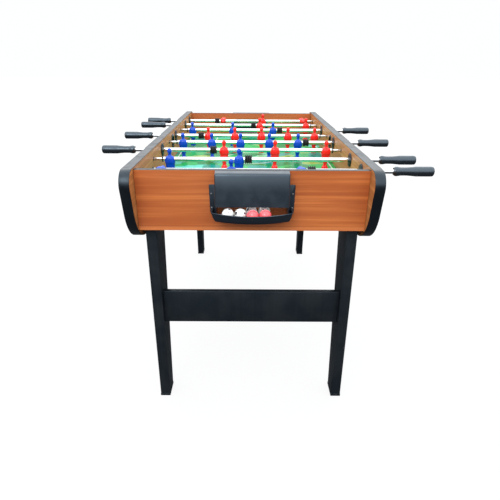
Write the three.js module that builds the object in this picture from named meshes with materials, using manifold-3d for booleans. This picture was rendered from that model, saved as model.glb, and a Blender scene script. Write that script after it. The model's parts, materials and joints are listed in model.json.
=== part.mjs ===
// Foosball table with telescopic rods: a four-foot home table on two leg frames.
// Millimetres, +Z up. The origin is on the floor under the centre of the table, Y runs along the
// playfield, and X runs along the rods.

import * as THREE from 'three';
import { mergeVertices } from 'three/addons/utils/BufferGeometryUtils.js';
import Module from 'manifold-3d';

const wasm = await Module();
wasm.setup();

// ---- Cabinet ----
const tableLength = 1250;
const tableWidth = 606;
const tableHeight = 695;
const sideThickness = 24;
const sideDepth = 190;
const sideRake = 47;
const sideTopRadius = 34;
const sideBottomRadius = 112;
const endThickness = 15;
const endTopDrop = 4.5;
const endDepth = 150.5;
const endInset = 55;
const fieldDrop = 95;
const fieldThickness = 9;
const seamGap = 0.3;
const cutMargin = 1;

// ---- Goal mouths and ball serve ports ----
const goalWidth = 160;
const goalHeight = 66;
const goalRadius = 14;
const portRadius = 19;
const portDrop = 36;

// ---- Leg frames ----
const legWidth = 27.5;
const legTopDepth = 110;
const legFootDepth = 56;
const legSideGap = 10.5;
const legEndGap = 6.5;
const braceThickness = 15;
const braceDepth = 96;
const braceBottom = 252;
const braceSetback = 14;
const braceTenonGap = 1;

// ---- Ball returns ----
const hoodWidth = 174;
const hoodTopReach = 31;
const hoodMiddleReach = 39;
const hoodMiddleDrop = 28;
const hoodBottomReach = 42;
const hoodDepth = 77;
const trayOverhang = 10;
const trayReach = 66;
const trayCheek = 36;
const trayTaper = 8;
const trayRimDrop = 96.4;
const trayHeight = 21.6;
const shellWall = 2.5;
const flangeWidth = 16;
const flangeTopDrop = 38;
const flangeHeight = 78;

// ---- Rods ----
const endRodGap = 81;
const rodDrop = 28;
const tubeRadius = 6;
const tubeWall = 1.2;
const telescopeGap = 0.6;
const tubeFarGap = 25;
const innerRodSeat = 14;
const innerRodEngagement = 60;
const bushingWall = 4.5;
const bushingFlange = 4.2;
const bumperLength = 21;
const gripStandOff = 59;
const gripLength = 102;
const gripRadius = 12.75;
const gripWaistRadius = 11;
const gripCollarRadius = 12.2;
const gripBoreDepth = 70;
const gripCollarLead = 2.5;
const gripCollarLength = 4;
const gripWaistStart = 16;
const gripWaistEnd = 36;
const gripPalmStart = 54;
const gripEndChamfer = 4;
const gripEndLead = 3;
const turningGap = 0.5;

// ---- Men ----
const firstManInset = 47;
const manHeadReach = 30.6;
const footClearance = 6;
const shoulderWidth = 31;
const hipWidth = 25;
const ankleWidth = 11;
const footWidth = 20;
const headWidth = 13;
const crownWidth = 6.5;
const shoulderSlope = 3;
const neckWidth = 8.7;
const manDepth = 20;
const thighDepth = 17;
const footDepth = 16;

// Heights on a player: below the crown for the head and shoulders, below the rod for the shirt and
// hips, and above the sole for the legs.
const templeDrop = 4;
const jawDrop = 9;
const neckDrop = 13;
const collarDrop = 20;
const shoulderDrop = 26;
const chestDrop = 22;
const shirtDrop = 8;
const hipDrop = 27;
const ankleRise = 15;
const instepRise = 8;

// How far each kind of rod could slide towards its handle with its bumper against the last man.
const roles = {
  goalie: { men: 3, reach: 112, lying: [0, 2] },
  defence: { men: 2, reach: 274, lying: [] },
  midfield: { men: 5, reach: 80, lying: [] },
  attack: { men: 3, reach: 152, lying: [] },
};

// The rods in order from the front end of the table to the back one: team, role, and how far the
// bumper stands off from the last man, which comes off the rod's travel.
const rodOrder = [
  ['blue', 'goalie', 0],
  ['blue', 'defence', 0],
  ['red', 'attack', 6.5],
  ['blue', 'midfield', 0],
  ['red', 'midfield', 0],
  ['blue', 'attack', 0],
  ['red', 'defence', 0],
  ['red', 'goalie', 0],
];

const tubeSides = 16;
const innerRodSides = 12;
const gripSides = 16;
const arcSteps = 8;

// ---- Sizes worked out from the ones above ----
const innerHalfWidth = tableWidth / 2 - sideThickness;
const endFace = tableLength / 2 - endInset;
const endInner = endFace - endThickness;
const endTop = tableHeight - endTopDrop;
const fieldTop = tableHeight - fieldDrop;
const rodHeight = tableHeight - rodDrop;
const rodSpan = 2 * (endInner - endRodGap);
const rodPitch = rodSpan / (rodOrder.length - 1);
const footReach = rodHeight - fieldTop - footClearance;
const tubeEnd = tableWidth / 2 + gripStandOff + gripBoreDepth - seamGap;
const tubeStart = tubeFarGap - innerHalfWidth;
const innerRodRadius = tubeRadius - tubeWall - telescopeGap;
const bushingHoleRadius = tubeRadius + bushingWall;
const trayWidth = hoodWidth + 2 * trayOverhang;

const blackBoard = { color: 0x17181a, roughness: 0.55, metalness: 0 };
const finishes = {
  sideBoard: { color: 0xb5683a, roughness: 0.5, metalness: 0 },
  endBoard: { color: 0xc8713b, roughness: 0.5, metalness: 0 },
  field: { color: 0x2fae5a, roughness: 0.35, metalness: 0 },
  leg: blackBoard,
  returnPlastic: { color: 0x2a2e34, roughness: 0.4, metalness: 0 },
  chrome: { color: 0xd9dde0, roughness: 0.12, metalness: 1 },
  steel: { color: 0xb9bcc0, roughness: 0.3, metalness: 1 },
  grip: { color: 0x1d2024, roughness: 0.5, metalness: 0 },
  blue: { color: 0x1450c8, roughness: 0.25, metalness: 0 },
  red: { color: 0xeb2d28, roughness: 0.25, metalness: 0 },
};

// ---- Geometry helpers ----

function material(finish) {
  return new THREE.MeshStandardMaterial(finishes[finish]);
}

function addPart(parent, name, geometry, finish) {
  const mesh = new THREE.Mesh(geometry, material(finish));
  mesh.name = name;
  parent.add(mesh);
  return mesh;
}

function toSolid(geometry) {
  const bare = geometry.clone();
  bare.deleteAttribute('normal');
  bare.deleteAttribute('uv');
  const merged = mergeVertices(bare, 1e-4);
  const mesh = new wasm.Mesh({
    numProp: 3,
    vertProperties: new Float32Array(merged.attributes.position.array),
    triVerts: new Uint32Array(merged.index.array),
  });
  return new wasm.Manifold(mesh);
}

function toGeometry(solid) {
  const mesh = solid.getMesh();
  const geometry = new THREE.BufferGeometry();
  geometry.setAttribute('position', new THREE.BufferAttribute(new Float32Array(mesh.vertProperties), 3));
  geometry.setIndex(new THREE.BufferAttribute(new Uint32Array(mesh.triVerts), 1));
  geometry.computeVertexNormals();
  return geometry;
}

// A block between two values on each axis.
function block([x0, x1], [y0, y1], [z0, z1]) {
  const geometry = new THREE.BoxGeometry(x1 - x0, y1 - y0, z1 - z0);
  return geometry.translate((x0 + x1) / 2, (y0 + y1) / 2, (z0 + z1) / 2);
}

// A closed outline through [x, y, radius] corners, each rounded by an arc of its radius.
function roundedOutline(corners) {
  const points = [];
  corners.forEach(([x, y, radius], i) => {
    const corner = new THREE.Vector2(x, y);
    const before = corners[(i + corners.length - 1) % corners.length];
    const after = corners[(i + 1) % corners.length];
    const back = new THREE.Vector2(before[0], before[1]).sub(corner).normalize();
    const ahead = new THREE.Vector2(after[0], after[1]).sub(corner).normalize();
    const half = Math.acos(THREE.MathUtils.clamp(back.dot(ahead), -1, 1)) / 2;
    if (radius === 0 || half > Math.PI / 2 - 1e-6) {
      points.push(corner);
      return;
    }
    const middle = back.clone().add(ahead).normalize();
    const centre = corner.clone().addScaledVector(middle, radius / Math.sin(half));
    const start = corner.clone().addScaledVector(back, radius / Math.tan(half)).sub(centre);
    const turn = Math.sign(start.cross(middle)) * (Math.PI - 2 * half);
    for (let k = 0; k <= arcSteps; k += 1) {
      const swung = start.clone().rotateAround(new THREE.Vector2(), -turn * (k / arcSteps));
      points.push(swung.add(centre));
    }
  });
  return new THREE.Shape(points);
}

// An outline in the XZ plane pushed out along Y, between two values.
function alongY(shape, [y0, y1]) {
  const geometry = new THREE.ExtrudeGeometry(shape, { depth: y1 - y0, bevelEnabled: false });
  return geometry.rotateX(Math.PI / 2).translate(0, y1, 0);
}

// An outline in the YZ plane pushed out along X, between two values.
function alongX(shape, [x0, x1]) {
  const geometry = new THREE.ExtrudeGeometry(shape, { depth: x1 - x0, bevelEnabled: false });
  const turned = new THREE.Matrix4().makeBasis(
    new THREE.Vector3(0, 1, 0),
    new THREE.Vector3(0, 0, 1),
    new THREE.Vector3(1, 0, 0),
  );
  return geometry.applyMatrix4(turned).translate(x0, 0, 0);
}

// An outline in the XY plane pushed up along Z, between two values.
function alongZ(shape, [z0, z1]) {
  const geometry = new THREE.ExtrudeGeometry(shape, { depth: z1 - z0, bevelEnabled: false });
  return geometry.translate(0, 0, z0);
}

// A round bar along X, between two values, on a centre line at (y, z).
function bar(radius, [x0, x1], [y, z], sides) {
  const geometry = new THREE.CylinderGeometry(radius, radius, x1 - x0, sides);
  return geometry.rotateZ(-Math.PI / 2).translate((x0 + x1) / 2, y, z);
}

// [radius, x] points spun about the X axis.
function spunAboutX(profile, sides) {
  const points = profile.map(([radius, x]) => new THREE.Vector2(radius, x));
  return new THREE.LatheGeometry(points, sides).rotateZ(-Math.PI / 2);
}

// Half widths from the top down, mirrored into a closed outline.
function mirroredOutline(halfWidths) {
  const right = halfWidths.map(([half, height]) => new THREE.Vector2(half, height));
  const left = halfWidths.map(([half, height]) => new THREE.Vector2(-half, height)).reverse();
  return new THREE.Shape([...left, ...right]);
}

// ---- Cabinet ----

function rodY(index) {
  return index * rodPitch - rodSpan / 2;
}

function handleSide(team) {
  return team === 'blue' ? 1 : -1;
}

// side is 1 for the board at +X and -1 for the one at -X.
function sidePanelGeometry(side) {
  const top = tableHeight;
  const bottom = tableHeight - sideDepth;
  const outline = roundedOutline([
    [-tableLength / 2 + sideRake, bottom, sideBottomRadius],
    [tableLength / 2 - sideRake, bottom, sideBottomRadius],
    [tableLength / 2, top, sideTopRadius],
    [-tableLength / 2, top, sideTopRadius],
  ]);
  const span = [innerHalfWidth, tableWidth / 2].map((x) => x * side).sort((a, b) => a - b);
  let board = toSolid(alongX(outline, span));

  const through = [span[0] - cutMargin, span[1] + cutMargin];
  rodOrder.forEach(([team], i) => {
    const centre = [rodY(i), rodHeight];
    if (handleSide(team) === side) {
      board = board.subtract(toSolid(bar(bushingHoleRadius, through, centre, tubeSides)));
      return;
    }
    const inner = side * (innerHalfWidth - cutMargin);
    const bottomOfSeat = side * (innerHalfWidth + innerRodSeat + seamGap);
    const seat = [Math.min(inner, bottomOfSeat), Math.max(inner, bottomOfSeat)];
    board = board.subtract(toSolid(bar(innerRodRadius + turningGap, seat, centre, innerRodSides)));
  });
  const port = bar(portRadius, through, [0, tableHeight - portDrop], tubeSides);
  return toGeometry(board.subtract(toSolid(port)));
}

// end is 1 for the board at +Y and -1 for the one at -Y.
function endPanelGeometry(end) {
  const half = innerHalfWidth - seamGap;
  const faces = [endInner, endFace].map((y) => y * end).sort((a, b) => a - b);
  const board = toSolid(block([-half, half], faces, [endTop - endDepth, endTop]));
  const mouth = roundedOutline([
    [-goalWidth / 2, fieldTop, 0],
    [goalWidth / 2, fieldTop, 0],
    [goalWidth / 2, fieldTop + goalHeight, goalRadius],
    [-goalWidth / 2, fieldTop + goalHeight, goalRadius],
  ]);
  return toGeometry(board.subtract(toSolid(alongY(mouth, [faces[0] - cutMargin, faces[1] + cutMargin]))));
}

function playfieldGeometry() {
  const halfWidth = innerHalfWidth - seamGap;
  const halfLength = endInner - seamGap;
  return block([-halfWidth, halfWidth], [-halfLength, halfLength], [fieldTop - fieldThickness, fieldTop]);
}

// Two legs that taper towards the floor and the board between them, at the front end; the back one
// is turned round.
function legFrameGeometry() {
  const outerX = innerHalfWidth - legSideGap;
  const innerX = outerX - legWidth;
  const front = -(endInner - legEndGap);
  const top = fieldTop - fieldThickness - seamGap;
  const side = roundedOutline([
    [front, 0, 0],
    [front + legFootDepth, 0, 0],
    [front + legTopDepth, top, 0],
    [front, top, 0],
  ]);
  const right = toSolid(alongX(side, [innerX, outerX]));
  const left = toSolid(alongX(side, [-outerX, -innerX]));
  const braceHalf = outerX - braceTenonGap;
  const braceFront = front + braceSetback;
  const brace = block(
    [-braceHalf, braceHalf],
    [braceFront, braceFront + braceThickness],
    [braceBottom, braceBottom + braceDepth],
  );
  return toGeometry(right.add(left).add(toSolid(brace)));
}

// ---- Ball returns ----

// The plan of the tray at the front end: flat against the board and bowed out towards the player.
function trayPlan(inset) {
  const back = -endFace - seamGap;
  const half = trayWidth / 2 - inset;
  const cheek = back - trayCheek;
  const bow = trayReach - trayCheek - inset;
  const radius = (half * half + bow * bow) / (2 * bow);
  const sweep = Math.asin(Math.min(1, half / radius));
  const centreY = cheek - bow + radius;
  const points = [new THREE.Vector2(half, back), new THREE.Vector2(-half, back)];
  for (let k = 0; k <= 2 * arcSteps; k += 1) {
    const angle = -Math.PI / 2 - sweep + (sweep * k) / arcSteps;
    points.push(new THREE.Vector2(radius * Math.cos(angle), centreY + radius * Math.sin(angle)));
  }
  return points;
}

// A closed bowl between two plans of the same number of points, the lower one first.
function bowl(lower, z0, upper, z1) {
  const count = lower.length;
  const corners = [...lower.map((p) => [p.x, p.y, z0]), ...upper.map((p) => [p.x, p.y, z1])];
  const faces = [];
  for (let k = 0; k < count; k += 1) {
    const next = (k + 1) % count;
    faces.push([k, next, count + next], [k, count + next, count + k]);
  }
  for (const [a, b, c] of THREE.ShapeUtils.triangulateShape(lower, [])) faces.push([a, b, c]);
  for (const [a, b, c] of THREE.ShapeUtils.triangulateShape(upper, [])) {
    faces.push([count + a, count + b, count + c]);
  }
  const geometry = new THREE.BufferGeometry();
  geometry.setAttribute('position', new THREE.Float32BufferAttribute(corners.flat(), 3));
  geometry.setIndex(outward(corners, faces).flat());
  return geometry;
}

// The faces of a bowl, each wound so that it looks away from the bowl's middle.
function outward(corners, faces) {
  const points = corners.map((corner) => new THREE.Vector3(...corner));
  const middle = points.reduce((sum, p) => sum.add(p), new THREE.Vector3()).divideScalar(points.length);
  return faces.map(([a, b, c]) => {
    const normal = new THREE.Triangle(points[a], points[b], points[c]).getNormal(new THREE.Vector3());
    return normal.dot(points[a].clone().sub(middle)) > 0 ? [a, b, c] : [a, c, b];
  });
}

// The hood over the goal mouth, the tray below it and the flanges that screw to the board, at the
// front end. The back one is turned round.
function ballReturnGeometry() {
  const back = -endFace - seamGap;
  const hoodHalf = hoodWidth / 2;
  const hoodBottom = endTop - hoodDepth;
  const hoodMiddle = endTop - hoodMiddleDrop;
  const trayTop = tableHeight - trayRimDrop;
  const trayBottom = trayTop - trayHeight;

  const topFront = -endFace - hoodTopReach;
  const middleFront = -endFace - hoodMiddleReach;
  const bottomFront = -endFace - hoodBottomReach;
  const hood = roundedOutline([
    [back, hoodBottom, 0],
    [back, endTop, 0],
    [topFront, endTop, 0],
    [middleFront, hoodMiddle, 0],
    [bottomFront, hoodBottom, 0],
  ]);
  let shell = toSolid(alongX(hood, [-hoodHalf, hoodHalf]));
  const cheeks = block([-hoodHalf, hoodHalf], [back - trayCheek, back], [trayBottom, hoodBottom + shellWall]);
  shell = shell.add(toSolid(cheeks));
  const inside = roundedOutline([
    [back + cutMargin, trayBottom - cutMargin, 0],
    [back + cutMargin, endTop - shellWall, 0],
    [topFront + shellWall, endTop - shellWall, 0],
    [middleFront + shellWall, hoodMiddle, 0],
    [bottomFront + shellWall, hoodBottom, 0],
    [bottomFront + shellWall, trayBottom - cutMargin, 0],
  ]);
  shell = shell.subtract(toSolid(alongX(inside, [shellWall - hoodHalf, hoodHalf - shellWall])));

  const tray = toSolid(bowl(trayPlan(trayTaper), trayBottom, trayPlan(0), trayTop));
  const floor = trayBottom + shellWall;
  const mouth = trayTop + cutMargin;
  const hollow = toSolid(bowl(trayPlan(trayTaper + shellWall), floor, trayPlan(shellWall), mouth));
  shell = shell.add(tray.subtract(hollow));

  const flangeTop = tableHeight - flangeTopDrop;
  for (const side of [-1, 1]) {
    const edges = [hoodHalf - shellWall, hoodHalf + flangeWidth].map((x) => x * side);
    edges.sort((a, b) => a - b);
    const flange = block(edges, [back - shellWall, back], [flangeTop - flangeHeight, flangeTop]);
    shell = shell.add(toSolid(flange));
  }
  return toGeometry(shell);
}

// ---- Rods ----

function tubeGeometry() {
  const bore = tubeRadius - tubeWall;
  const ring = [
    [bore, tubeStart],
    [tubeRadius, tubeStart],
    [tubeRadius, tubeEnd],
    [bore, tubeEnd],
    [bore, tubeStart],
  ];
  return spunAboutX(ring, tubeSides);
}

function innerRodGeometry(travel) {
  const start = -innerHalfWidth - innerRodSeat;
  const end = tubeStart + travel + innerRodEngagement;
  return bar(innerRodRadius, [start, end], [0, 0], innerRodSides);
}

// A moulded grip with a flared collar, a waist for the fingers and a round end.
function gripGeometry() {
  const start = tableWidth / 2 + gripStandOff;
  const end = start + gripLength;
  const bore = tubeRadius + turningGap;
  const depth = start + gripBoreDepth;
  return spunAboutX([
    [0, depth],
    [bore, depth],
    [bore, start],
    [gripCollarRadius - gripCollarLead, start],
    [gripCollarRadius, start + gripCollarLength],
    [gripWaistRadius, start + gripWaistStart],
    [gripWaistRadius, start + gripWaistEnd],
    [gripRadius, start + gripPalmStart],
    [gripRadius, end - gripEndChamfer],
    [gripRadius - gripEndLead, end],
    [0, end],
  ], gripSides);
}

// One player, upright, with its rod hole on the X axis: the meeting of a front and a side outline.
function manGeometry() {
  const head = manHeadReach;
  const foot = -footReach;
  const front = mirroredOutline([
    [crownWidth / 2, head],
    [headWidth / 2, head - templeDrop],
    [headWidth / 2, head - jawDrop],
    [neckWidth / 2, head - neckDrop],
    [shoulderWidth / 2 - shoulderSlope, head - collarDrop],
    [shoulderWidth / 2, head - shoulderDrop],
    [shoulderWidth / 2, -shirtDrop],
    [hipWidth / 2, -hipDrop],
    [ankleWidth / 2, foot + ankleRise],
    [footWidth / 2, foot + instepRise],
    [footWidth / 2, foot],
  ]);
  const side = mirroredOutline([
    [crownWidth / 2, head],
    [headWidth / 2, head - templeDrop],
    [headWidth / 2, head - jawDrop],
    [neckWidth / 2, head - neckDrop],
    [manDepth / 2, head - chestDrop],
    [manDepth / 2, -shirtDrop],
    [thighDepth / 2, -hipDrop],
    [ankleWidth / 2, foot + ankleRise],
    [footDepth / 2, foot + instepRise],
    [footDepth / 2, foot],
  ]);
  const wide = shoulderWidth;
  const body = toSolid(alongY(front, [-wide, wide])).intersect(toSolid(alongX(side, [-wide, wide])));
  const hole = bar(tubeRadius + turningGap, [-wide, wide], [0, 0], tubeSides);
  return toGeometry(body.subtract(toSolid(hole)));
}

function menPositions({ men, reach }) {
  const first = firstManInset - innerHalfWidth;
  const last = innerHalfWidth - bushingFlange - reach - bumperLength - shoulderWidth / 2 - turningGap;
  return Array.from({ length: men }, (_, i) => first + ((last - first) * i) / (men - 1));
}

// Each rod is built with its handle at +X and turned round for the team that plays from -X.
function addRod(parent, index) {
  const [team, roleName, bumperStandOff] = rodOrder[index];
  const role = roles[roleName];
  const name = `${team}_${roleName}`;
  const rod = new THREE.Group();
  rod.position.set(0, rodY(index), rodHeight);
  rod.rotation.z = handleSide(team) > 0 ? 0 : Math.PI;
  parent.add(rod);

  addPart(rod, `${name}_inner_rod`, innerRodGeometry(role.reach - bumperStandOff), 'steel');
  addPart(rod, `${name}_tube`, tubeGeometry(), 'chrome');
  addPart(rod, `${name}_grip`, gripGeometry(), 'grip');
  menPositions(role).forEach((x, i) => {
    const man = addPart(rod, `${name}_man_${i + 1}`, manGeometry(), team);
    man.position.x = x;
    man.rotation.x = role.lying.includes(i) ? -Math.PI / 2 : 0;
  });
}

// ---- The whole table ----

const table = new THREE.Group();
addPart(table, 'side_panel_right', sidePanelGeometry(1), 'sideBoard');
addPart(table, 'side_panel_left', sidePanelGeometry(-1), 'sideBoard');
addPart(table, 'end_panel_front', endPanelGeometry(-1), 'endBoard');
addPart(table, 'end_panel_back', endPanelGeometry(1), 'endBoard');
addPart(table, 'playfield', playfieldGeometry(), 'field');
addPart(table, 'leg_frame_front', legFrameGeometry(), 'leg');
addPart(table, 'leg_frame_back', legFrameGeometry(), 'leg').rotation.z = Math.PI;
addPart(table, 'ball_return_front', ballReturnGeometry(), 'returnPlastic');
addPart(table, 'ball_return_back', ballReturnGeometry(), 'returnPlastic').rotation.z = Math.PI;
rodOrder.forEach((_, index) => addRod(table, index));

export default table;
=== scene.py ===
"""Foosball table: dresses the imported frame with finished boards, rods, players and fittings."""

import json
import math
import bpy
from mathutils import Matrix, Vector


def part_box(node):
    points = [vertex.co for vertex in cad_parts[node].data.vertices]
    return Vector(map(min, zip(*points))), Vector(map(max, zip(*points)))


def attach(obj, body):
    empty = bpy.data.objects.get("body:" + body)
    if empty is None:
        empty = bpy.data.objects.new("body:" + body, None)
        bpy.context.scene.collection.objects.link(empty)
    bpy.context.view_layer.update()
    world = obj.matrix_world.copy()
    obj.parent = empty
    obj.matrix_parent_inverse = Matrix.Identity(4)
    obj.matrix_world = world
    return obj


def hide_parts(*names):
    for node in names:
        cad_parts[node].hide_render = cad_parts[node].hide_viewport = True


bl_info = {
    "name": "Foosball Table",
    "version": (1, 0, 0),
    "blender": (4, 5, 0),
    "location": "3D View > Sidebar > Foosball",
    "description": "Builds the visible pieces and finishes of a four-foot foosball table",
    "category": "Object",
}

import bmesh
import bpy
from bpy.props import FloatProperty, FloatVectorProperty, IntProperty, PointerProperty
from mathutils import Matrix, Vector

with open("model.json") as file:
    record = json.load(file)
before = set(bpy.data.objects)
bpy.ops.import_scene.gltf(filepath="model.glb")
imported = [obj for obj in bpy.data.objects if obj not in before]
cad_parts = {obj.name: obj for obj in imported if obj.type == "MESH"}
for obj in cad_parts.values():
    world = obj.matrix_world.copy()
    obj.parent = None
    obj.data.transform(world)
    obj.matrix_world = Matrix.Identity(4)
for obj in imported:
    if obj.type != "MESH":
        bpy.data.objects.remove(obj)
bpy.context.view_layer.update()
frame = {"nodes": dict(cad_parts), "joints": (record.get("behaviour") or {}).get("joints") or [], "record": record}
MM = 0.001
ROOT = "table"
SIDES = ((1, "right"), (-1, "left"))
ENDS = ((-1, "front"), (1, "back"))


# ---------------------------------------------------------------- settings


def number_prop(name, description, default, subtype="NONE", unit="NONE"):
    return FloatProperty(name=name, description=description, default=default, subtype=subtype, unit=unit)


def length_prop(name, description, default):
    return number_prop(name, description, default, "DISTANCE", "LENGTH")


def count_prop(name, description, default, least):
    return IntProperty(name=name, description=description, default=default, min=least)


def colour_prop(name, description, default):
    return FloatVectorProperty(name=name, description=description, default=default, subtype="COLOR", size=3)


class StageSettings(bpy.types.PropertyGroup):
    camera_place: FloatVectorProperty(
        name="Camera place",
        description="Where the camera stands, in the table's frame",
        default=(-0.0073, -1.5884, 0.9343),
        subtype="TRANSLATION",
        unit="LENGTH",
    )
    camera_down: number_prop("Look down", "Camera tilt below the horizon", math.radians(23.683), "ANGLE")
    camera_turn: number_prop("Turn", "Camera heading, clockwise from +Y", 0.003, "ANGLE")
    camera_roll: number_prop("Roll", "Camera roll about its own axis", 0.006, "ANGLE")
    focal_length: number_prop("Focal length", "Lens on a 36 mm sensor, in mm", 31.76)
    key_power: number_prop("Key light", "Power of the large front light", 34.0)
    sky_strength: number_prop("Sky", "Strength of the light from above", 2.5)
    horizon_strength: number_prop("Horizon", "Strength of the light at eye level", 0.12)
    floor_glow: number_prop("Floor glow", "How far the floor's shadows are lifted", 0.90)
    floor_colour: colour_prop("Floor colour", "Studio floor under its own glow", (0.050, 0.052, 0.055))


class CabinetSettings(bpy.types.PropertyGroup):
    corner_length: length_prop("Corner length", "Side panel length between its sharp top corners", 1.250)
    rake: length_prop("Rake", "How far the lower corners stand back from the upper ones", 0.047)
    top_radius: length_prop("Top radius", "Radius of the upper corners of the side panels", 0.034)
    bottom_radius: length_prop("Bottom radius", "Radius of the lower corners of the side panels", 0.112)
    band_thickness: length_prop("Band thickness", "Thickness of the black edge band", 0.0012)
    strip_thickness: length_prop("Strip thickness", "Thickness of the strip on the end boards", 0.0006)
    trim_height: length_prop("Trim height", "Height of the paler strip low on the end boards", 0.011)
    side_light: colour_prop("Side wood, light", "Light tone of the side boards", (0.56, 0.26, 0.085))
    side_dark: colour_prop("Side wood, dark", "Dark tone of the side boards", (0.36, 0.145, 0.045))
    end_light: colour_prop("End wood, light", "Light tone of the end boards", (0.68, 0.222, 0.058))
    end_dark: colour_prop("End wood, dark", "Dark tone of the end boards", (0.42, 0.105, 0.023))
    band_colour: colour_prop("Band colour", "Black edge band", (0.0022, 0.0034, 0.0050))


class FieldSettings(bpy.types.PropertyGroup):
    grass_light: colour_prop("Light grass", "Light blocks of the print", (0.012, 0.330, 0.070))
    grass_dark: colour_prop("Dark grass", "Dark blocks of the print", (0.000, 0.150, 0.045))
    patch_teal: colour_prop("Teal", "Cool blocks of the print", (0.000, 0.210, 0.190))
    patch_mint: colour_prop("Mint", "Pale blocks of the print", (0.090, 0.520, 0.430))
    patch_olive: colour_prop("Olive", "Warm blocks of the print", (0.250, 0.330, 0.060))
    line_colour: colour_prop("Lines", "Pitch lines", (0.55, 0.60, 0.56))
    line_width: length_prop("Line width", "Width of the pitch lines", 0.004)
    border: length_prop("Border", "From the board's edge to the outer line", 0.014)
    circle_radius: length_prop("Centre circle", "Radius of the centre circle", 0.092)
    spot_radius: length_prop("Centre spot", "Radius of the centre spot", 0.006)
    area_half: length_prop("Penalty area", "Half the width of a penalty area", 0.150)
    area_depth: length_prop("Penalty depth", "Depth of a penalty area", 0.175)
    goal_half: length_prop("Goal area", "Half the width of a goal area", 0.085)
    goal_depth: length_prop("Goal depth", "Depth of a goal area", 0.070)
    board_colour: colour_prop("Board", "Bare underside of the playfield board", (0.24, 0.145, 0.080))


class FrameSettings(bpy.types.PropertyGroup):
    leg_width: length_prop("Leg width", "Width of a leg across the table", 0.0275)
    foot_depth: length_prop("Foot depth", "Depth of a leg at the floor, along the table", 0.056)
    brace_low: length_prop("Brace bottom", "Height of the lower edge of the brace", 0.252)
    brace_high: length_prop("Brace top", "Height of the upper edge of the brace", 0.348)
    brace_thickness: length_prop("Brace thickness", "Thickness of the brace", 0.015)
    brace_setback: length_prop("Brace setback", "How far the brace stands behind the legs' fronts", 0.014)
    edge_radius: length_prop("Edge radius", "Rounding of the leg and brace edges", 0.0012)
    pad_height: length_prop("Pad height", "Height of the plastic foot caps", 0.008)
    board_colour: colour_prop("Board colour", "Black laminate", (0.0045, 0.0065, 0.0090))


class ReturnSettings(bpy.types.PropertyGroup):
    flange_width: length_prop("Flange width", "How far the flanges reach beside the hood", 0.016)
    flange_top: length_prop("Flange top", "Height of the flanges' upper ends", 0.657)
    top_reach: length_prop("Top reach", "How far the hood stands out at its top", 0.031)
    middle_reach: length_prop("Middle reach", "How far the hood stands out at its shoulder", 0.039)
    middle_drop: length_prop("Middle drop", "How far the shoulder is below the top", 0.028)
    bottom_reach: length_prop("Bottom reach", "How far the hood stands out at its lower edge", 0.042)
    top_radius: length_prop("Top radius", "Radius of the bend at the top of the hood", 0.0065)
    shoulder_radius: length_prop("Shoulder radius", "Radius of the slow bend at the shoulder", 0.195)
    hood_depth: length_prop("Hood depth", "Height of the hood", 0.077)
    corner_radius: length_prop("Corner radius", "Rounding of the hood's upper and side edges", 0.0035)
    tray_overhang: length_prop("Tray overhang", "How much wider the tray is than the hood", 0.010)
    tray_cheek: length_prop("Tray cheek", "How far the straight sides of the tray stand out", 0.036)
    tray_taper: length_prop("Tray taper", "How far the tray's foot is in from its rim", 0.008)
    tray_height: length_prop("Tray height", "Height of the tray", 0.0216)
    wall: length_prop("Wall", "Wall of the moulding", 0.0025)
    plastic_colour: colour_prop("Plastic colour", "Dark grey moulding", (0.0062, 0.0092, 0.0142))
    ball_radius: length_prop("Ball radius", "Radius of the loose balls", 0.0145)
    ball_spot: colour_prop("Spot colour", "Dark spots on the white balls", (0.02, 0.02, 0.025))
    ball_pink: colour_prop("Pink ball", "Pink plastic of the coloured balls", (0.86, 0.095, 0.115))


class RodSettings(bpy.types.PropertyGroup):
    tube_sides: count_prop("Tube sides", "Facets round each chrome tube", 40, 12)
    tube_wall: length_prop("Tube wall", "Wall of the chrome tube", 0.0012)
    ring_radius: length_prop("Ring radius", "Radius of the rubber ring on the tube's far end", 0.0086)
    ring_length: length_prop("Ring length", "Length of that ring", 0.0026)
    bumper_radius: length_prop("Bumper radius", "Radius over the fins of the bumper", 0.0128)
    bumper_length: length_prop("Bumper length", "Length of the bumper", 0.0205)
    bumper_fins: count_prop("Bumper fins", "Fins round the bumper", 4, 2)
    fin_depth: length_prop("Fin depth", "How deep the grooves between the fins are", 0.0042)
    flange_radius: length_prop("Flange radius", "Radius of the bushing's flange", 0.0195)
    flange_thickness: length_prop("Flange thickness", "Thickness of the bushing's flange", 0.0034)
    hub_height: length_prop("Hub height", "How far the bushing's hub stands out from its flange", 0.0008)
    bumper_gap: length_prop("Bumper gap", "What is left between bumper and bushing at full travel", 0.0003)
    socket_radius: length_prop("Socket radius", "Radius of the far socket's lip", 0.0066)
    rubber_colour: colour_prop("Rubber colour", "Black rubber", (0.0075, 0.0078, 0.0085))


class GripSettings(bpy.types.PropertyGroup):
    collar_radius: length_prop("Collar radius", "Radius of the flared inner collar", 0.0120)
    waist_radius: length_prop("Waist radius", "Radius of the finger waist", 0.0105)
    palm_radius: length_prop("Palm radius", "Radius over the flats of the outer half", 0.0127)
    flats: count_prop("Flats", "Flats round the outer half", 10, 6)
    plastic_colour: colour_prop("Grip colour", "Black moulding", (0.0060, 0.0078, 0.0100))


class ManSettings(bpy.types.PropertyGroup):
    around: count_prop("Around", "Points round each section of a player", 40, 16)
    blue_colour: colour_prop("Blue team", "Blue plastic", (0.000, 0.050, 0.430))
    red_colour: colour_prop("Red team", "Red plastic", (0.780, 0.016, 0.013))


# ---------------------------------------------------------------- frame facts


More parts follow.
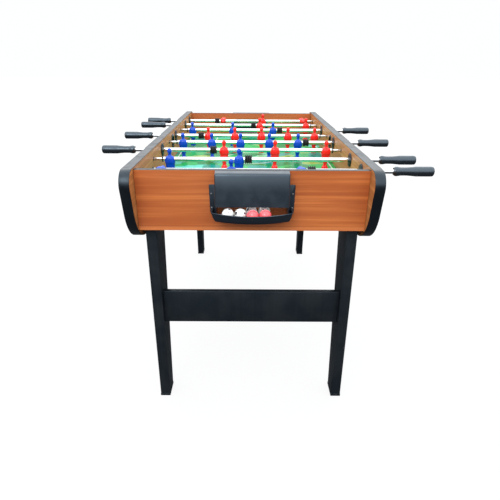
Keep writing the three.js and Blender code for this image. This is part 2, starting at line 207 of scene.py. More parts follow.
def rod_facts():
    """Each rod's name, centre line and the side its handle is on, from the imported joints."""
    rods = []
    travel = {j["name"]: j["range_m"][1] for j in frame["joints"] if j["type"] == "slide"}
    for joint in frame["joints"]:
        if joint["type"] != "hinge":
            continue
        name = joint["name"].removesuffix("_spin")
        men = sorted(n for n in frame["nodes"] if n.startswith(f"{name}_man_"))
        rods.append({
            "name": name,
            "team": name.split("_")[0],
            "y": joint["pos_m"][1],
            "z": joint["pos_m"][2],
            "side": 1 if joint["axis"][0] > 0 else -1,
            "men": men,
            "body": f"{name}_rod",
            "inner_body": f"{name}_inner_rod",
            "travel": travel[f"{name}_slide"],
        })
    return rods


def handle_frame(rod, x=0.0):
    """Places a piece made along +X, with the handle at +X, on a rod, at a distance from the middle."""
    turn = Matrix.Rotation(0.0 if rod["side"] > 0 else math.pi, 4, "Z")
    return Matrix.Translation((0.0, rod["y"], rod["z"])) @ turn @ Matrix.Translation((x, 0.0, 0.0))


def along_handle(rod, node):
    """The (near, far) span of a node towards the handle, from the middle of the table."""
    low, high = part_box(node)
    return (low.x, high.x) if rod["side"] > 0 else (-high.x, -low.x)


def bar_radius(node):
    """The radius of a round bar or tube that lies along X."""
    low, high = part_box(node)
    return (high.z - low.z) / 2


def inner_half_width():
    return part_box("side_panel_right")[0].x


def outer_half_width():
    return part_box("side_panel_right")[1].x


# ---------------------------------------------------------------- mesh tools


def rounded_corners(corners, steps=8):
    """Points through (a, b, radius) corners of a closed outline, each rounded by an arc."""
    points = []
    count = len(corners)
    for i, (a, b, radius) in enumerate(corners):
        corner = Vector((a, b))
        back = (Vector(corners[i - 1][:2]) - corner).normalized()
        ahead = (Vector(corners[(i + 1) % count][:2]) - corner).normalized()
        half = math.acos(max(-1.0, min(1.0, back.dot(ahead)))) / 2
        if radius <= 0 or half > math.pi / 2 - 1e-4:
            points.append(corner)
            continue
        centre = corner + (back + ahead).normalized() * (radius / math.sin(half))
        start = corner + back * (radius / math.tan(half)) - centre
        finish = corner + ahead * (radius / math.tan(half)) - centre
        sweep = math.pi - 2 * half
        turn = sweep if start.x * finish.y - start.y * finish.x > 0 else -sweep
        for k in range(steps + 1):
            angle = turn * k / steps
            cos, sin = math.cos(angle), math.sin(angle)
            points.append(centre + Vector((start.x * cos - start.y * sin, start.x * sin + start.y * cos)))
    return points


def skin_rings(bm, rings, closed=False):
    """Joins rings of vertices, each a list of one length, with quads."""
    pairs = list(zip(rings, rings[1:]))
    if closed:
        pairs.append((rings[-1], rings[0]))
    for first, second in pairs:
        count = len(first)
        for k in range(count):
            bm.faces.new((first[k], first[(k + 1) % count], second[(k + 1) % count], second[k]))


def lathe(profile, sides, closed=False, shape=None):
    """A body of (x, radius) points spun about X. A radius of 0 makes a pole, and shape(x, angle) scales
    the radius round the body."""
    bm = bmesh.new()
    rings = []
    poles = []
    for x, radius in profile:
        if radius < 1e-7:
            poles.append((len(rings), bm.verts.new((x, 0, 0))))
            continue
        ring = []
        for k in range(sides):
            angle = 2 * math.pi * k / sides
            r = radius * (shape(x, angle) if shape else 1.0)
            ring.append(bm.verts.new((x, r * math.cos(angle), r * math.sin(angle))))
        rings.append(ring)
    skin_rings(bm, rings, closed)
    for place, pole in poles:
        ring = rings[0] if place == 0 else rings[-1]
        for k in range(sides):
            bm.faces.new((pole, ring[k], ring[(k + 1) % sides]))
    bmesh.ops.recalc_face_normals(bm, faces=bm.faces)
    return bm


def rounded_profile(corners, steps=4):
    """Lathe points through the (x, radius, fillet) corners of a section."""
    return [(p.x, p.y) for p in rounded_corners(corners, steps)]


def rounded_block(low, high, radius, segments=3):
    """A box between two corners with all its edges rounded."""
    bm = bmesh.new()
    bmesh.ops.create_cube(bm, size=1.0)
    low, high = Vector(low), Vector(high)
    for v in bm.verts:
        v.co = Vector((low[i] + (v.co[i] + 0.5) * (high[i] - low[i]) for i in range(3)))
    bmesh.ops.bevel(bm, geom=bm.edges[:], offset=radius, segments=segments, profile=0.5, affect="EDGES")
    bmesh.ops.recalc_face_normals(bm, faces=bm.faces)
    return bm


def stacked(outlines, across):
    """A closed body through (outline, depth) sections of one number of points, capped at both ends.
    across turns (a, b, depth) into a place."""
    bm = bmesh.new()
    rings = []
    for outline, depth in outlines:
        rings.append([bm.verts.new(across(p.x, p.y, depth)) for p in outline])
    skin_rings(bm, rings)
    for ring in (rings[0], rings[-1]):
        bm.faces.new(ring)
    bmesh.ops.recalc_face_normals(bm, faces=bm.faces)
    return bm


def pushed(outline, near, far, across):
    """A block with a closed outline, pushed from near to far."""
    return stacked([(outline, near), (outline, far)], across)


def soften(bm, radius, segments, choose):
    """Rounds the sharp edges that choose accepts."""
    sharp = [e for e in bm.edges if e.calc_face_angle(0.0) > math.radians(40) and choose(e)]
    bmesh.ops.bevel(bm, geom=sharp, offset=radius, segments=segments, profile=0.5, affect="EDGES")
    return bm


def mesh_from(name, bm, materials, smooth=35.0):
    """Turns bm into a smooth mesh that keeps edges sharper than an angle in degrees, and frees bm."""
    mesh = bpy.data.meshes.new(name)
    bm.to_mesh(mesh)
    bm.free()
    for material in materials:
        mesh.materials.append(material)
    for polygon in mesh.polygons:
        polygon.use_smooth = True
    mesh.set_sharp_from_angle(angle=math.radians(smooth))
    return mesh


def place(name, mesh, body, slot, matrix=None):
    """Links a piece that moves with a body. The slot is not used."""
    piece = bpy.data.objects.new(name, mesh)
    bpy.context.scene.collection.objects.link(piece)
    if matrix is not None:
        piece.matrix_world = matrix
    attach(piece, body)
    return piece


def finish_node(node, material, radius=0.0):
    """Gives a kept CAD node its material and softens its sharp edges without changing its mesh."""
    piece = frame["nodes"][node]
    piece.data.materials.clear()
    piece.data.materials.append(material)
    if radius <= 0:
        return piece
    weld = piece.modifiers.new("weld", "WELD")
    weld.merge_threshold = 1e-5
    flat = piece.modifiers.new("flat", "DECIMATE")
    flat.decimate_type = "DISSOLVE"
    flat.angle_limit = math.radians(0.5)
    bevel = piece.modifiers.new("edges", "BEVEL")
    bevel.width = radius
    bevel.segments = 2
    bevel.limit_method = "ANGLE"
    bevel.angle_limit = math.radians(30)
    bevel.harden_normals = True
    return piece


# ---------------------------------------------------------------- shader tools


class Wiring:
    """Adds and joins shader nodes in one tree."""

    def __init__(self, tree):
        self.tree = tree
        self.nodes = tree.nodes
        self.column = 0

    def add(self, kind, **settings):
        made = self.nodes.new(kind)
        made.location = (self.column * 180, 0)
        self.column += 1
        for key, value in settings.items():
            setattr(made, key, value)
        return made

    def join(self, source, target):
        self.tree.links.new(source, target)
        return target

    def feed(self, socket, value):
        if isinstance(value, bpy.types.NodeSocket):
            self.join(value, socket)
        else:
            socket.default_value = value

    def math(self, operation, a, b=0.0, c=0.0):
        made = self.add("ShaderNodeMath", operation=operation)
        for socket, value in zip(made.inputs, (a, b, c)):
            self.feed(socket, value)
        return made.outputs[0]

    def mix(self, factor, a, b, blend="MIX"):
        made = self.add("ShaderNodeMix", data_type="RGBA", blend_type=blend)
        self.feed(made.inputs["Factor"], factor)
        for socket, value in ((made.inputs[6], a), (made.inputs[7], b)):
            self.feed(socket, value if isinstance(value, bpy.types.NodeSocket) else (*value, 1.0))
        return made.outputs[2]

    def spread(self, value, low, high, to_low=0.0, to_high=1.0):
        made = self.add("ShaderNodeMapRange", interpolation_type="SMOOTHSTEP")
        for socket, number in zip(made.inputs, (value, low, high, to_low, to_high)):
            self.feed(socket, number)
        return made.outputs[0]

    def noise(self, vector, scale, detail=3.0, roughness=0.5, distortion=0.0):
        made = self.add("ShaderNodeTexNoise")
        self.join(vector, made.inputs["Vector"])
        self.feed(made.inputs["Scale"], scale)
        made.inputs["Detail"].default_value = detail
        made.inputs["Roughness"].default_value = roughness
        made.inputs["Distortion"].default_value = distortion
        return made.outputs["Fac"]

    def stretch(self, vector, scale, turn=(0.0, 0.0, 0.0)):
        made = self.add("ShaderNodeMapping")
        self.join(vector, made.inputs["Vector"])
        made.inputs["Scale"].default_value = scale
        made.inputs["Rotation"].default_value = turn
        return made.outputs["Vector"]


def shader_group(name, inputs, outputs, build):
    """A node group with named sockets, built once. Inputs are (name, kind, default) and outputs are
    (name, kind)."""
    found = bpy.data.node_groups.get(name)
    if found:
        return found
    group = bpy.data.node_groups.new(name, "ShaderNodeTree")
    for socket_name, kind, default in inputs:
        made = group.interface.new_socket(socket_name, in_out="INPUT", socket_type=kind)
        if default is not None:
            made.default_value = default
    for socket_name, kind in outputs:
        group.interface.new_socket(socket_name, in_out="OUTPUT", socket_type=kind)
    wiring = Wiring(group)
    enter = wiring.add("NodeGroupInput").outputs
    leave = wiring.add("NodeGroupOutput").inputs
    build(wiring, enter, leave)
    return group


def board_grain():
    """Printed wood grain: long pores and slow tone bands that run along X of the given vector."""

    def build(w, enter, leave):
        vector = enter["Vector"]
        drift = w.noise(w.stretch(vector, (1.3, 6.0, 6.0)), 1.0, 2.0)
        shifted = w.add("ShaderNodeVectorMath", operation="ADD")
        push = w.add("ShaderNodeCombineXYZ")
        w.join(w.math("MULTIPLY", drift, 0.02), push.inputs["Z"])
        w.join(vector, shifted.inputs[0])
        w.join(push.outputs[0], shifted.inputs[1])
        bent = shifted.outputs[0]
        bands = w.noise(w.stretch(bent, (0.9, 42.0, 42.0)), 1.0, 3.0, 0.55)
        streaks = w.noise(w.stretch(bent, (2.2, 150.0, 150.0)), 1.0, 4.0, 0.6)
        pores = w.noise(w.stretch(bent, (14.0, 700.0, 700.0)), 1.0, 2.0, 0.5)
        tone = w.math("MULTIPLY_ADD", bands, enter["Bands"], w.math("MULTIPLY", streaks, enter["Streaks"]))
        pore_mask = w.spread(pores, 0.60, 0.72)
        tone = w.math("MULTIPLY_ADD", pore_mask, 0.16, tone)
        w.join(w.spread(tone, 0.36, 0.72), leave["Tone"])
        w.join(w.math("SUBTRACT", 1.0, pore_mask), leave["Height"])

    return shader_group(
        "board grain",
        [
            ("Vector", "NodeSocketVector", None),
            ("Bands", "NodeSocketFloat", 0.6),
            ("Streaks", "NodeSocketFloat", 0.5),
        ],
        [("Tone", "NodeSocketFloat"), ("Height", "NodeSocketFloat")],
        build,
    )


def handling_marks():
    """Smudges, fine scuffs and rubbed edges, as masks over the surface."""

    def build(w, enter, leave):
        vector = enter["Vector"]
        smudge = w.noise(vector, enter["Smudge scale"], 3.0, 0.55, 0.4)
        w.join(w.spread(smudge, 0.42, 0.68), leave["Smudge"])
        fine = w.noise(w.stretch(vector, (1.0, 5.0, 1.4), (0.3, 0.5, 0.9)), 220.0, 4.0, 0.65)
        w.join(w.spread(fine, 0.60, 0.80), leave["Scuff"])
        edge = w.spread(w.add("ShaderNodeNewGeometry").outputs["Pointiness"], 0.52, 0.62)
        w.join(w.math("MULTIPLY", edge, w.spread(smudge, 0.35, 0.6)), leave["Rubbed edge"])

    return shader_group(
        "handling marks",
        [("Vector", "NodeSocketVector", None), ("Smudge scale", "NodeSocketFloat", 18.0)],
        [("Smudge", "NodeSocketFloat"), ("Scuff", "NodeSocketFloat"), ("Rubbed edge", "NodeSocketFloat")],
        build,
    )


def moulded_skin():
    """The fine leathery skin of moulded plastic and rubber, as a height."""

    def build(w, enter, leave):
        cells = w.add("ShaderNodeTexVoronoi", feature="SMOOTH_F1")
        w.join(enter["Vector"], cells.inputs["Vector"])
        w.join(enter["Scale"], cells.inputs["Scale"])
        broad = w.noise(enter["Vector"], 90.0, 2.0)
        w.join(w.math("MULTIPLY_ADD", broad, 0.6, cells.outputs["Distance"]), leave["Height"])

    return shader_group(
        "moulded skin",
        [("Vector", "NodeSocketVector", None), ("Scale", "NodeSocketFloat", 1400.0)],
        [("Height", "NodeSocketFloat")],
        build,
    )


def pitch_line():
    """A painted line: 1 where the distance to its middle is under half its width."""

    def build(w, enter, leave):
        gap = w.math("ABSOLUTE", enter["Distance"])
        half = w.math("MULTIPLY", enter["Width"], 0.5)
        soft = w.math("SUBTRACT", gap, half)
        w.join(w.spread(soft, 0.0003, -0.0003), leave["Mask"])

    return shader_group(
        "pitch line",
        [("Distance", "NodeSocketFloat", 0.0), ("Width", "NodeSocketFloat", 0.004)],
        [("Mask", "NodeSocketFloat")],
        build,
    )


def new_material(name):
    """A material with its wiring, its principled shader and the piece's own coordinates."""
    material = bpy.data.materials.new(name)
    material.use_nodes = True
    wiring = Wiring(material.node_tree)
    shader = next(n for n in material.node_tree.nodes if n.type == "BSDF_PRINCIPLED")
    coordinates = wiring.add("ShaderNodeTexCoord").outputs["Object"]
    return material, wiring, shader, coordinates


def place_group(wiring, group, vector, **values):
    """Adds a node group fed with a vector and with values for its other inputs."""
    made = wiring.add("ShaderNodeGroup", node_tree=group)
    wiring.join(vector, made.inputs["Vector"])
    for key, value in values.items():
        made.inputs[key.replace("_", " ").capitalize()].default_value = value
    return made.outputs


def bump(wiring, shader, height, strength, distance):
    made = wiring.add("ShaderNodeBump")
    made.inputs["Strength"].default_value = strength
    made.inputs["Distance"].default_value = distance
    wiring.join(height, made.inputs["Height"])
    wiring.join(made.outputs["Normal"], shader.inputs["Normal"])


def stored(name, build, *arguments, **options):
    """The material of that name, built the first time it is asked for."""
    return bpy.data.materials.get(name) or build(name, *arguments, **options)


# ---------------------------------------------------------------- materials


def wood_board(name, light, dark, grain_turn, trim_top=None):
    """Wood-look laminate. grain_turn turns the coordinates so that the grain runs along the board, and
    the strip below the height trim_top is paler, with a fine dark joint above it."""
    material, w, shader, place_on = new_material(name)
    along = w.stretch(place_on, (1.0, 1.0, 1.0), grain_turn)
    grain = place_group(w, board_grain(), along, bands=0.55, streaks=0.70)
    marks = place_group(w, handling_marks(), place_on, smudge_scale=9.0)
    colour = w.mix(grain["Tone"], light, dark)
    slow = w.noise(w.stretch(along, (2.0, 9.0, 9.0)), 1.0, 1.0)
    warm = w.mix(w.spread(slow, 0.35, 0.7), (1.0, 1.0, 1.0), (0.88, 0.80, 0.72))
    colour = w.mix(1.0, colour, warm, "MULTIPLY")
    if trim_top is not None:
        split = w.add("ShaderNodeSeparateXYZ")
        w.join(place_on, split.inputs[0])
        above = w.math("SUBTRACT", split.outputs["Z"], trim_top)
        strip = w.spread(above, 0.0002, -0.0002)
        colour = w.mix(w.math("MULTIPLY", strip, 0.45), colour, (0.64, 0.205, 0.062))
        joint = w.spread(w.math("ABSOLUTE", above), 0.0009, 0.0003)
        colour = w.mix(w.math("MULTIPLY", joint, 0.5), colour, tuple(c * 0.4 for c in dark))
    w.join(colour, shader.inputs["Base Color"])
    rough = w.math("MULTIPLY_ADD", grain["Tone"], 0.10, 0.36)
    w.join(w.math("MULTIPLY_ADD", marks["Smudge"], 0.08, rough), shader.inputs["Roughness"])
    bump(w, shader, grain["Height"], 0.25, 0.0002)
    return material


def side_wood():
    s = bpy.context.scene.foosball_cabinet
    return stored("side board laminate", wood_board, s.side_light, s.side_dark, (0.0, 0.0, math.pi / 2))


def end_wood():
    s = bpy.context.scene.foosball_cabinet
    trim_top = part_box("end_panel_front")[0].z + s.trim_height
    return stored("end board laminate", wood_board, s.end_light, s.end_dark, (0.0, 0.0, 0.0), trim_top)


COOL_TINT = (0.66, 0.84, 1.0)


def moulded_plastic(name, colour, roughness, skin, scale, coat=0.0, shine=0.5, tint=(1.0, 1.0, 1.0)):
    """Moulded plastic with a fine skin, smudges that dull the gloss and paler rubbed edges. shine and
    tint are the strength and the colour of its reflections."""
    material, w, shader, place_on = new_material(name)
    marks = place_group(w, handling_marks(), place_on, smudge_scale=26.0)
    pale = tuple(min(1.0, c * 1.5 + 0.006) for c in colour)
    body = w.mix(w.math("MULTIPLY", marks["Rubbed edge"], 0.45), tuple(colour), pale)
    worn = w.mix(w.math("MULTIPLY", marks["Scuff"], 0.18), body, pale)
    w.join(worn, shader.inputs["Base Color"])
    rough = w.math("MULTIPLY_ADD", marks["Smudge"], 0.10, roughness)
    w.join(w.math("MULTIPLY_ADD", marks["Scuff"], 0.08, rough), shader.inputs["Roughness"])
    shader.inputs["Specular IOR Level"].default_value = shine
    shader.inputs["Specular Tint"].default_value = (*tint, 1.0)
    shader.inputs["Coat Weight"].default_value = coat
    shader.inputs["Coat Roughness"].default_value = 0.12
    skin_out = place_group(w, moulded_skin(), place_on, scale=scale)
    bump(w, shader, skin_out["Height"], skin, 0.0001)
    return material


# Each plastic's settings group, its colour there and its finish.
PLASTICS = {
    "edge band plastic": (
        "foosball_cabinet", "band_colour",
        {"roughness": 0.30, "skin": 0.12, "scale": 1800.0, "shine": 0.55, "tint": COOL_TINT},
    ),
    "ball return plastic": (
        "foosball_returns", "plastic_colour",
        {"roughness": 0.34, "skin": 0.18, "scale": 1500.0, "shine": 0.85, "tint": COOL_TINT},
    ),
    "grip plastic": (
        "foosball_grips", "plastic_colour",
        {"roughness": 0.26, "skin": 0.16, "scale": 1600.0, "shine": 1.0, "tint": COOL_TINT},
    ),
    "fitting plastic": (
        "foosball_cabinet", "band_colour",
        {"roughness": 0.36, "skin": 0.15, "scale": 2200.0, "shine": 0.4, "tint": COOL_TINT},
    ),
    "black rubber": (
        "foosball_rods", "rubber_colour",
        {"roughness": 0.62, "skin": 0.35, "scale": 900.0},
    ),
    "blue player plastic": (
        "foosball_men", "blue_colour",
        {"roughness": 0.24, "skin": 0.05, "scale": 700.0, "coat": 0.08, "shine": 0.3},
    ),
    "red player plastic": (
        "foosball_men", "red_colour",
        {"roughness": 0.24, "skin": 0.05, "scale": 700.0, "coat": 0.08, "shine": 0.3},
    ),
}


def plastic(name):
    """The plastic or rubber of that name in PLASTICS."""
    group, colour, finish = PLASTICS[name]
    shade = tuple(getattr(getattr(bpy.context.scene, group), colour))
    return stored(name, moulded_plastic, shade, **finish)


def leg_laminate():
    return stored("leg laminate", build_leg_laminate)


def build_leg_laminate(name):
    """Black board with a faint lengthwise grain and slightly paler, rubbed edges."""
    material, w, shader, place_on = new_material(name)
    s = bpy.context.scene.foosball_frame
    upright = w.stretch(place_on, (1.0, 1.0, 1.0), (0.0, math.pi / 2, 0.0))
    grain = place_group(w, board_grain(), upright, bands=0.4, streaks=0.6)
    marks = place_group(w, handling_marks(), place_on, smudge_scale=14.0)
    dark = tuple(s.board_colour)
    pale = tuple(c * 1.5 + 0.001 for c in dark)
    tone = w.mix(grain["Tone"], pale, dark)
    rubbed = w.mix(w.math("MULTIPLY", marks["Rubbed edge"], 0.5), tone, (0.045, 0.043, 0.040))
    w.join(rubbed, shader.inputs["Base Color"])
    shader.inputs["Specular IOR Level"].default_value = 0.35
    shader.inputs["Specular Tint"].default_value = (*COOL_TINT, 1.0)
    rough = w.math("MULTIPLY_ADD", marks["Smudge"], 0.12, 0.36)
    w.join(w.math("MULTIPLY_ADD", grain["Tone"], 0.06, rough), shader.inputs["Roughness"])
    bump(w, shader, grain["Height"], 0.2, 0.0002)
    return material


def bright_metal(name, colour, roughness, brushed):
    """Metal with smudges that break the mirror; brushed adds fine lines round the bar."""
    material, w, shader, place_on = new_material(name)
    shader.inputs["Metallic"].default_value = 1.0
    marks = place_group(w, handling_marks(), place_on, smudge_scale=30.0)
    dull = tuple(c * 0.82 for c in colour)
    w.join(w.mix(w.math("MULTIPLY", marks["Smudge"], 0.5), colour, dull), shader.inputs["Base Color"])
    rough = w.math("MULTIPLY_ADD", marks["Smudge"], 0.09, roughness)
    w.join(w.math("MULTIPLY_ADD", marks["Scuff"], 0.10, rough), shader.inputs["Roughness"])
    lines = w.noise(w.stretch(place_on, (brushed, 1.0, 1.0)), 40.0, 3.0)
    bump(w, shader, lines, 0.05, 0.00005)
    return material


def chrome():
    return stored("chrome tube", bright_metal, (0.86, 0.87, 0.88), 0.07, 12.0)


def drawn_steel():
    return stored("drawn steel", bright_metal, (0.66, 0.67, 0.68), 0.22, 40.0)


def screw_steel():
    return stored("screw steel", bright_metal, (0.16, 0.17, 0.18), 0.34, 4.0)


def field_print():
    return stored("field print", build_field_print)


def build_field_print(name):
    """A printed pitch under a clear film: blocks of green, teal, mint and olive with white lines. The
    underside of the board is left bare."""
    material, w, shader, place_on = new_material(name)
    s = bpy.context.scene.foosball_field
    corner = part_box("playfield")[1]
    split = w.add("ShaderNodeSeparateXYZ")
    w.join(place_on, split.inputs[0])
    x, y = split.outputs["X"], split.outputs["Y"]
    wander = w.noise(w.stretch(place_on, (9.0, 9.0, 1.0)), 1.0, 2.0)
    bent = w.add("ShaderNodeVectorMath", operation="ADD")
    w.join(w.stretch(place_on, (13.0, 17.0, 1.0)), bent.inputs[0])
    w.join(w.math("MULTIPLY", wander, 0.5), bent.inputs[1])
    blocks = w.add(
        "ShaderNodeTexVoronoi", feature="SMOOTH_F1", distance="CHEBYCHEV", voronoi_dimensions="2D"
    )
    w.join(bent.outputs[0], blocks.inputs["Vector"])
    blocks.inputs["Scale"].default_value = 1.0
    blocks.inputs["Smoothness"].default_value = 0.12
    pick = w.add("ShaderNodeSeparateColor")
    w.join(blocks.outputs["Color"], pick.inputs[0])
    choice = pick.outputs["Red"]
    print_colour = w.mix(w.spread(choice, 0.34, 0.38), tuple(s.grass_dark), tuple(s.grass_light))
    for low_edge, shade in ((0.56, s.patch_teal), (0.70, s.patch_mint), (0.84, s.patch_olive)):
        print_colour = w.mix(w.spread(choice, low_edge, low_edge + 0.04), print_colour, tuple(shade))
    blades = w.noise(w.stretch(place_on, (90.0, 260.0, 1.0)), 1.0, 4.0, 0.7)
    print_colour = w.mix(w.spread(blades, 0.3, 0.75, 0.0, 0.35), print_colour, tuple(s.grass_light))

    line = pitch_line()
    reach_x, reach_y = w.math("ABSOLUTE", x), w.math("ABSOLUTE", y)
    half_x, half_y = corner.x - s.border, corner.y - s.border

    def outline(side, end):
        return w.math("MAXIMUM", w.math("SUBTRACT", reach_x, side), w.math("SUBTRACT", end, reach_y))

    radius = w.math("SQRT", w.math("ADD", w.math("MULTIPLY", x, x), w.math("MULTIPLY", y, y)))
    edge = w.math("MAXIMUM", w.math("SUBTRACT", reach_x, half_x), w.math("SUBTRACT", reach_y, half_y))
    distances = [
        edge,
        y,
        w.math("SUBTRACT", radius, s.circle_radius),
        outline(s.area_half, half_y - s.area_depth),
        outline(s.goal_half, half_y - s.goal_depth),
    ]
    mask = 0.0
    for distance in distances:
        made = w.add("ShaderNodeGroup", node_tree=line)
        w.join(distance, made.inputs["Distance"])
        made.inputs["Width"].default_value = s.line_width
        mask = w.math("MAXIMUM", made.outputs["Mask"], mask)
    spot = w.spread(w.math("SUBTRACT", radius, s.spot_radius), 0.0003, -0.0003)
    mask = w.math("MAXIMUM", mask, spot)
    inside = w.spread(edge, 0.0025, 0.0019)
    mask = w.math("MULTIPLY", mask, inside)
    top_colour = w.mix(mask, print_colour, tuple(s.line_colour))
    facing_up = w.add("ShaderNodeSeparateXYZ")
    w.join(w.add("ShaderNodeNewGeometry").outputs["True Normal"], facing_up.inputs[0])
    bare = w.mix(blades, tuple(s.board_colour), tuple(c * 0.8 for c in s.board_colour))
    w.join(w.mix(w.spread(facing_up.outputs["Z"], 0.4, 0.6), bare, top_colour), shader.inputs["Base Color"])
    marks = place_group(w, handling_marks(), place_on, smudge_scale=7.0)
    shader.inputs["Specular IOR Level"].default_value = 0.08
    rough = w.math("MULTIPLY_ADD", marks["Smudge"], 0.08, 0.28)
    w.join(w.math("MULTIPLY_ADD", marks["Scuff"], 0.10, rough), shader.inputs["Roughness"])
    bump(w, shader, blades, 0.04, 0.0001)
    return material


def ball_plastic(name, colour, spotted):
    """Moulded ball: white with dark spots, or one plain colour."""
    material, w, shader, place_on = new_material(name)
    s = bpy.context.scene.foosball_returns
    marks = place_group(w, handling_marks(), place_on, smudge_scale=70.0)
    dull = tuple(c * 0.86 for c in colour)
    shade = w.mix(w.math("MULTIPLY", marks["Smudge"], 0.5), colour, dull)
    if spotted:
        cells = w.add("ShaderNodeTexVoronoi", feature="F1")
        w.join(place_on, cells.inputs["Vector"])
        cells.inputs["Scale"].default_value = 66.0
        cells.inputs["Randomness"].default_value = 0.55
        shade = w.mix(w.spread(cells.outputs["Distance"], 0.29, 0.26), shade, tuple(s.ball_spot))
    w.join(shade, shader.inputs["Base Color"])
    w.join(w.math("MULTIPLY_ADD", marks["Scuff"], 0.15, 0.24), shader.inputs["Roughness"])
    shader.inputs["Coat Weight"].default_value = 0.3
    skin_out = place_group(w, moulded_skin(), place_on, scale=900.0)
    bump(w, shader, skin_out["Height"], 0.05, 0.0001)
    return material


def spotted_ball():
    return stored("spotted ball", ball_plastic, (0.80, 0.80, 0.79), True)


def pink_ball():
    return stored("pink ball", ball_plastic, tuple(bpy.context.scene.foosball_returns.ball_pink), False)


# ---------------------------------------------------------------- shared small pieces


def screw_mesh():
    """A pan-head cross screw whose head rises along +X from 0."""
    found = bpy.data.meshes.get("pan head screw")
    if found:
        return found
    head, rise = 3.6 * MM, 1.7 * MM
    slot_half, slot_reach = 0.45 * MM, 1.9 * MM
    bm = lathe(rounded_profile([
        (-0.2 * MM, 0.0, 0),
        (-0.2 * MM, head, 0),
        (rise * 0.5, head, 0.5 * MM),
        (rise, head * 0.62, 0.6 * MM),
        (rise, 0.0, 0),
    ]), 24)
    cutters = []
    for turn in (0.0, math.pi / 2):
        low = (rise - 0.9 * MM, -slot_half, -slot_reach)
        cutter = rounded_block(low, (rise + MM, slot_half, slot_reach), 0.05 * MM, 1)
        bmesh.ops.rotate(cutter, verts=cutter.verts, matrix=Matrix.Rotation(turn, 3, "X"))
        cutters.append(("DIFFERENCE", cutter))
    return carve("pan head screw", bm, cutters, [screw_steel()])


def carve(name, bm, steps, materials, smooth=35.0, edge=0.0):
    """The mesh of bm after (operation, tool) steps, with its sharp edges rounded by edge."""
    helpers = []
    for i, part in enumerate([bm, *(tool for _, tool in steps)]):
        mesh = mesh_from(f"{name} work {i}", part, materials, smooth)
        helper = bpy.data.objects.new(mesh.name, mesh)
        bpy.context.scene.collection.objects.link(helper)
        helpers.append(helper)
    base = helpers[0]
    for (operation, _), helper in zip(steps, helpers[1:]):
        cut = base.modifiers.new("cut", "BOOLEAN")
        cut.operation = operation
        cut.solver = "EXACT"
        cut.object = helper
    if edge > 0:
        rounding = base.modifiers.new("rounding", "BEVEL")
        rounding.width = edge
        rounding.segments = 2
        rounding.limit_method = "ANGLE"
        rounding.angle_limit = math.radians(40)
    bpy.context.view_layer.update()
    made = bpy.data.meshes.new_from_object(base.evaluated_get(bpy.context.evaluated_depsgraph_get()))
    made.name = name
    for polygon in made.polygons:
        polygon.use_smooth = True
    made.set_sharp_from_angle(angle=math.radians(smooth))
    for helper in helpers:
        spare = helper.data
        bpy.data.objects.remove(helper)
        bpy.data.meshes.remove(spare)
    return made


def facing(point, direction, spin=0.0):
    """Places a piece made along +X at a point, facing a direction."""
    turn = Vector(direction).to_track_quat("X", "Z").to_matrix().to_4x4()
    return Matrix.Translation(point) @ turn @ Matrix.Rotation(spin, 4, "X")


def add_screw(name, point, direction, spin):
    return place(name, screw_mesh(), ROOT, "screw_steel", facing(point, direction, spin))


# ---------------------------------------------------------------- cabinet


def side_outline():
    """The side panel's outline in Y and Z, with true arcs, and its outward normals."""
    s = bpy.context.scene.foosball_cabinet
    low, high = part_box("side_panel_right")
    half = s.corner_length / 2
    points = rounded_corners([
        (-half + s.rake, low.z, s.bottom_radius),
        (half - s.rake, low.z, s.bottom_radius),
        (half, high.z, s.top_radius),
        (-half, high.z, s.top_radius),
    ], 20)
    count = len(points)
    normals = []
    for i in range(count):
        tangent = (points[(i + 1) % count] - points[i - 1]).normalized()
        normals.append(Vector((tangent.y, -tangent.x)))
    return points, normals


def edge_band_mesh(side):
    """A closed band of rounded section that wraps the rim of one side panel."""
    s = bpy.context.scene.foosball_cabinet
    low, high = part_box("side_panel_right")
    overhang = 0.25 * MM
    width = (low.x - overhang, high.x + overhang)
    section = rounded_corners([
        (width[0], 0.02 * MM, 0),
        (width[1], 0.02 * MM, 0),
        (width[1], s.band_thickness, 0.9 * MM),
        (width[0], s.band_thickness, 0.9 * MM),
    ], 3)
    points, normals = side_outline()
    bm = bmesh.new()
    rings = []
    for p, n in zip(points, normals):
        rings.append([bm.verts.new((side * q.x, p.x + n.x * q.y, p.y + n.y * q.y)) for q in section])
    skin_rings(bm, rings, closed=True)
    bmesh.ops.recalc_face_normals(bm, faces=bm.faces)
    return mesh_from(f"edge band {side}", bm, [plastic("edge band plastic")], 50)


def port_ring_mesh():
    """A flanged ring that lines a serve port: its flange lies on the inner face at x = 0."""
    wall = outer_half_width() - inner_half_width()
    hole, lip = 17.2 * MM, 24.0 * MM
    sleeve, flange = 18.5 * MM, 2.4 * MM
    bm = lathe(rounded_profile([
        (-flange, hole, 1.2 * MM),
        (-flange, lip, 1.4 * MM),
        (-0.1 * MM, lip, 0),
        (-0.1 * MM, sleeve, 0),
        (wall - 0.4 * MM, sleeve, 0),
        (wall - 0.4 * MM, hole, 0.4 * MM),
    ], 5), 48, closed=True)
    return mesh_from("serve port ring", bm, [plastic("fitting plastic")])


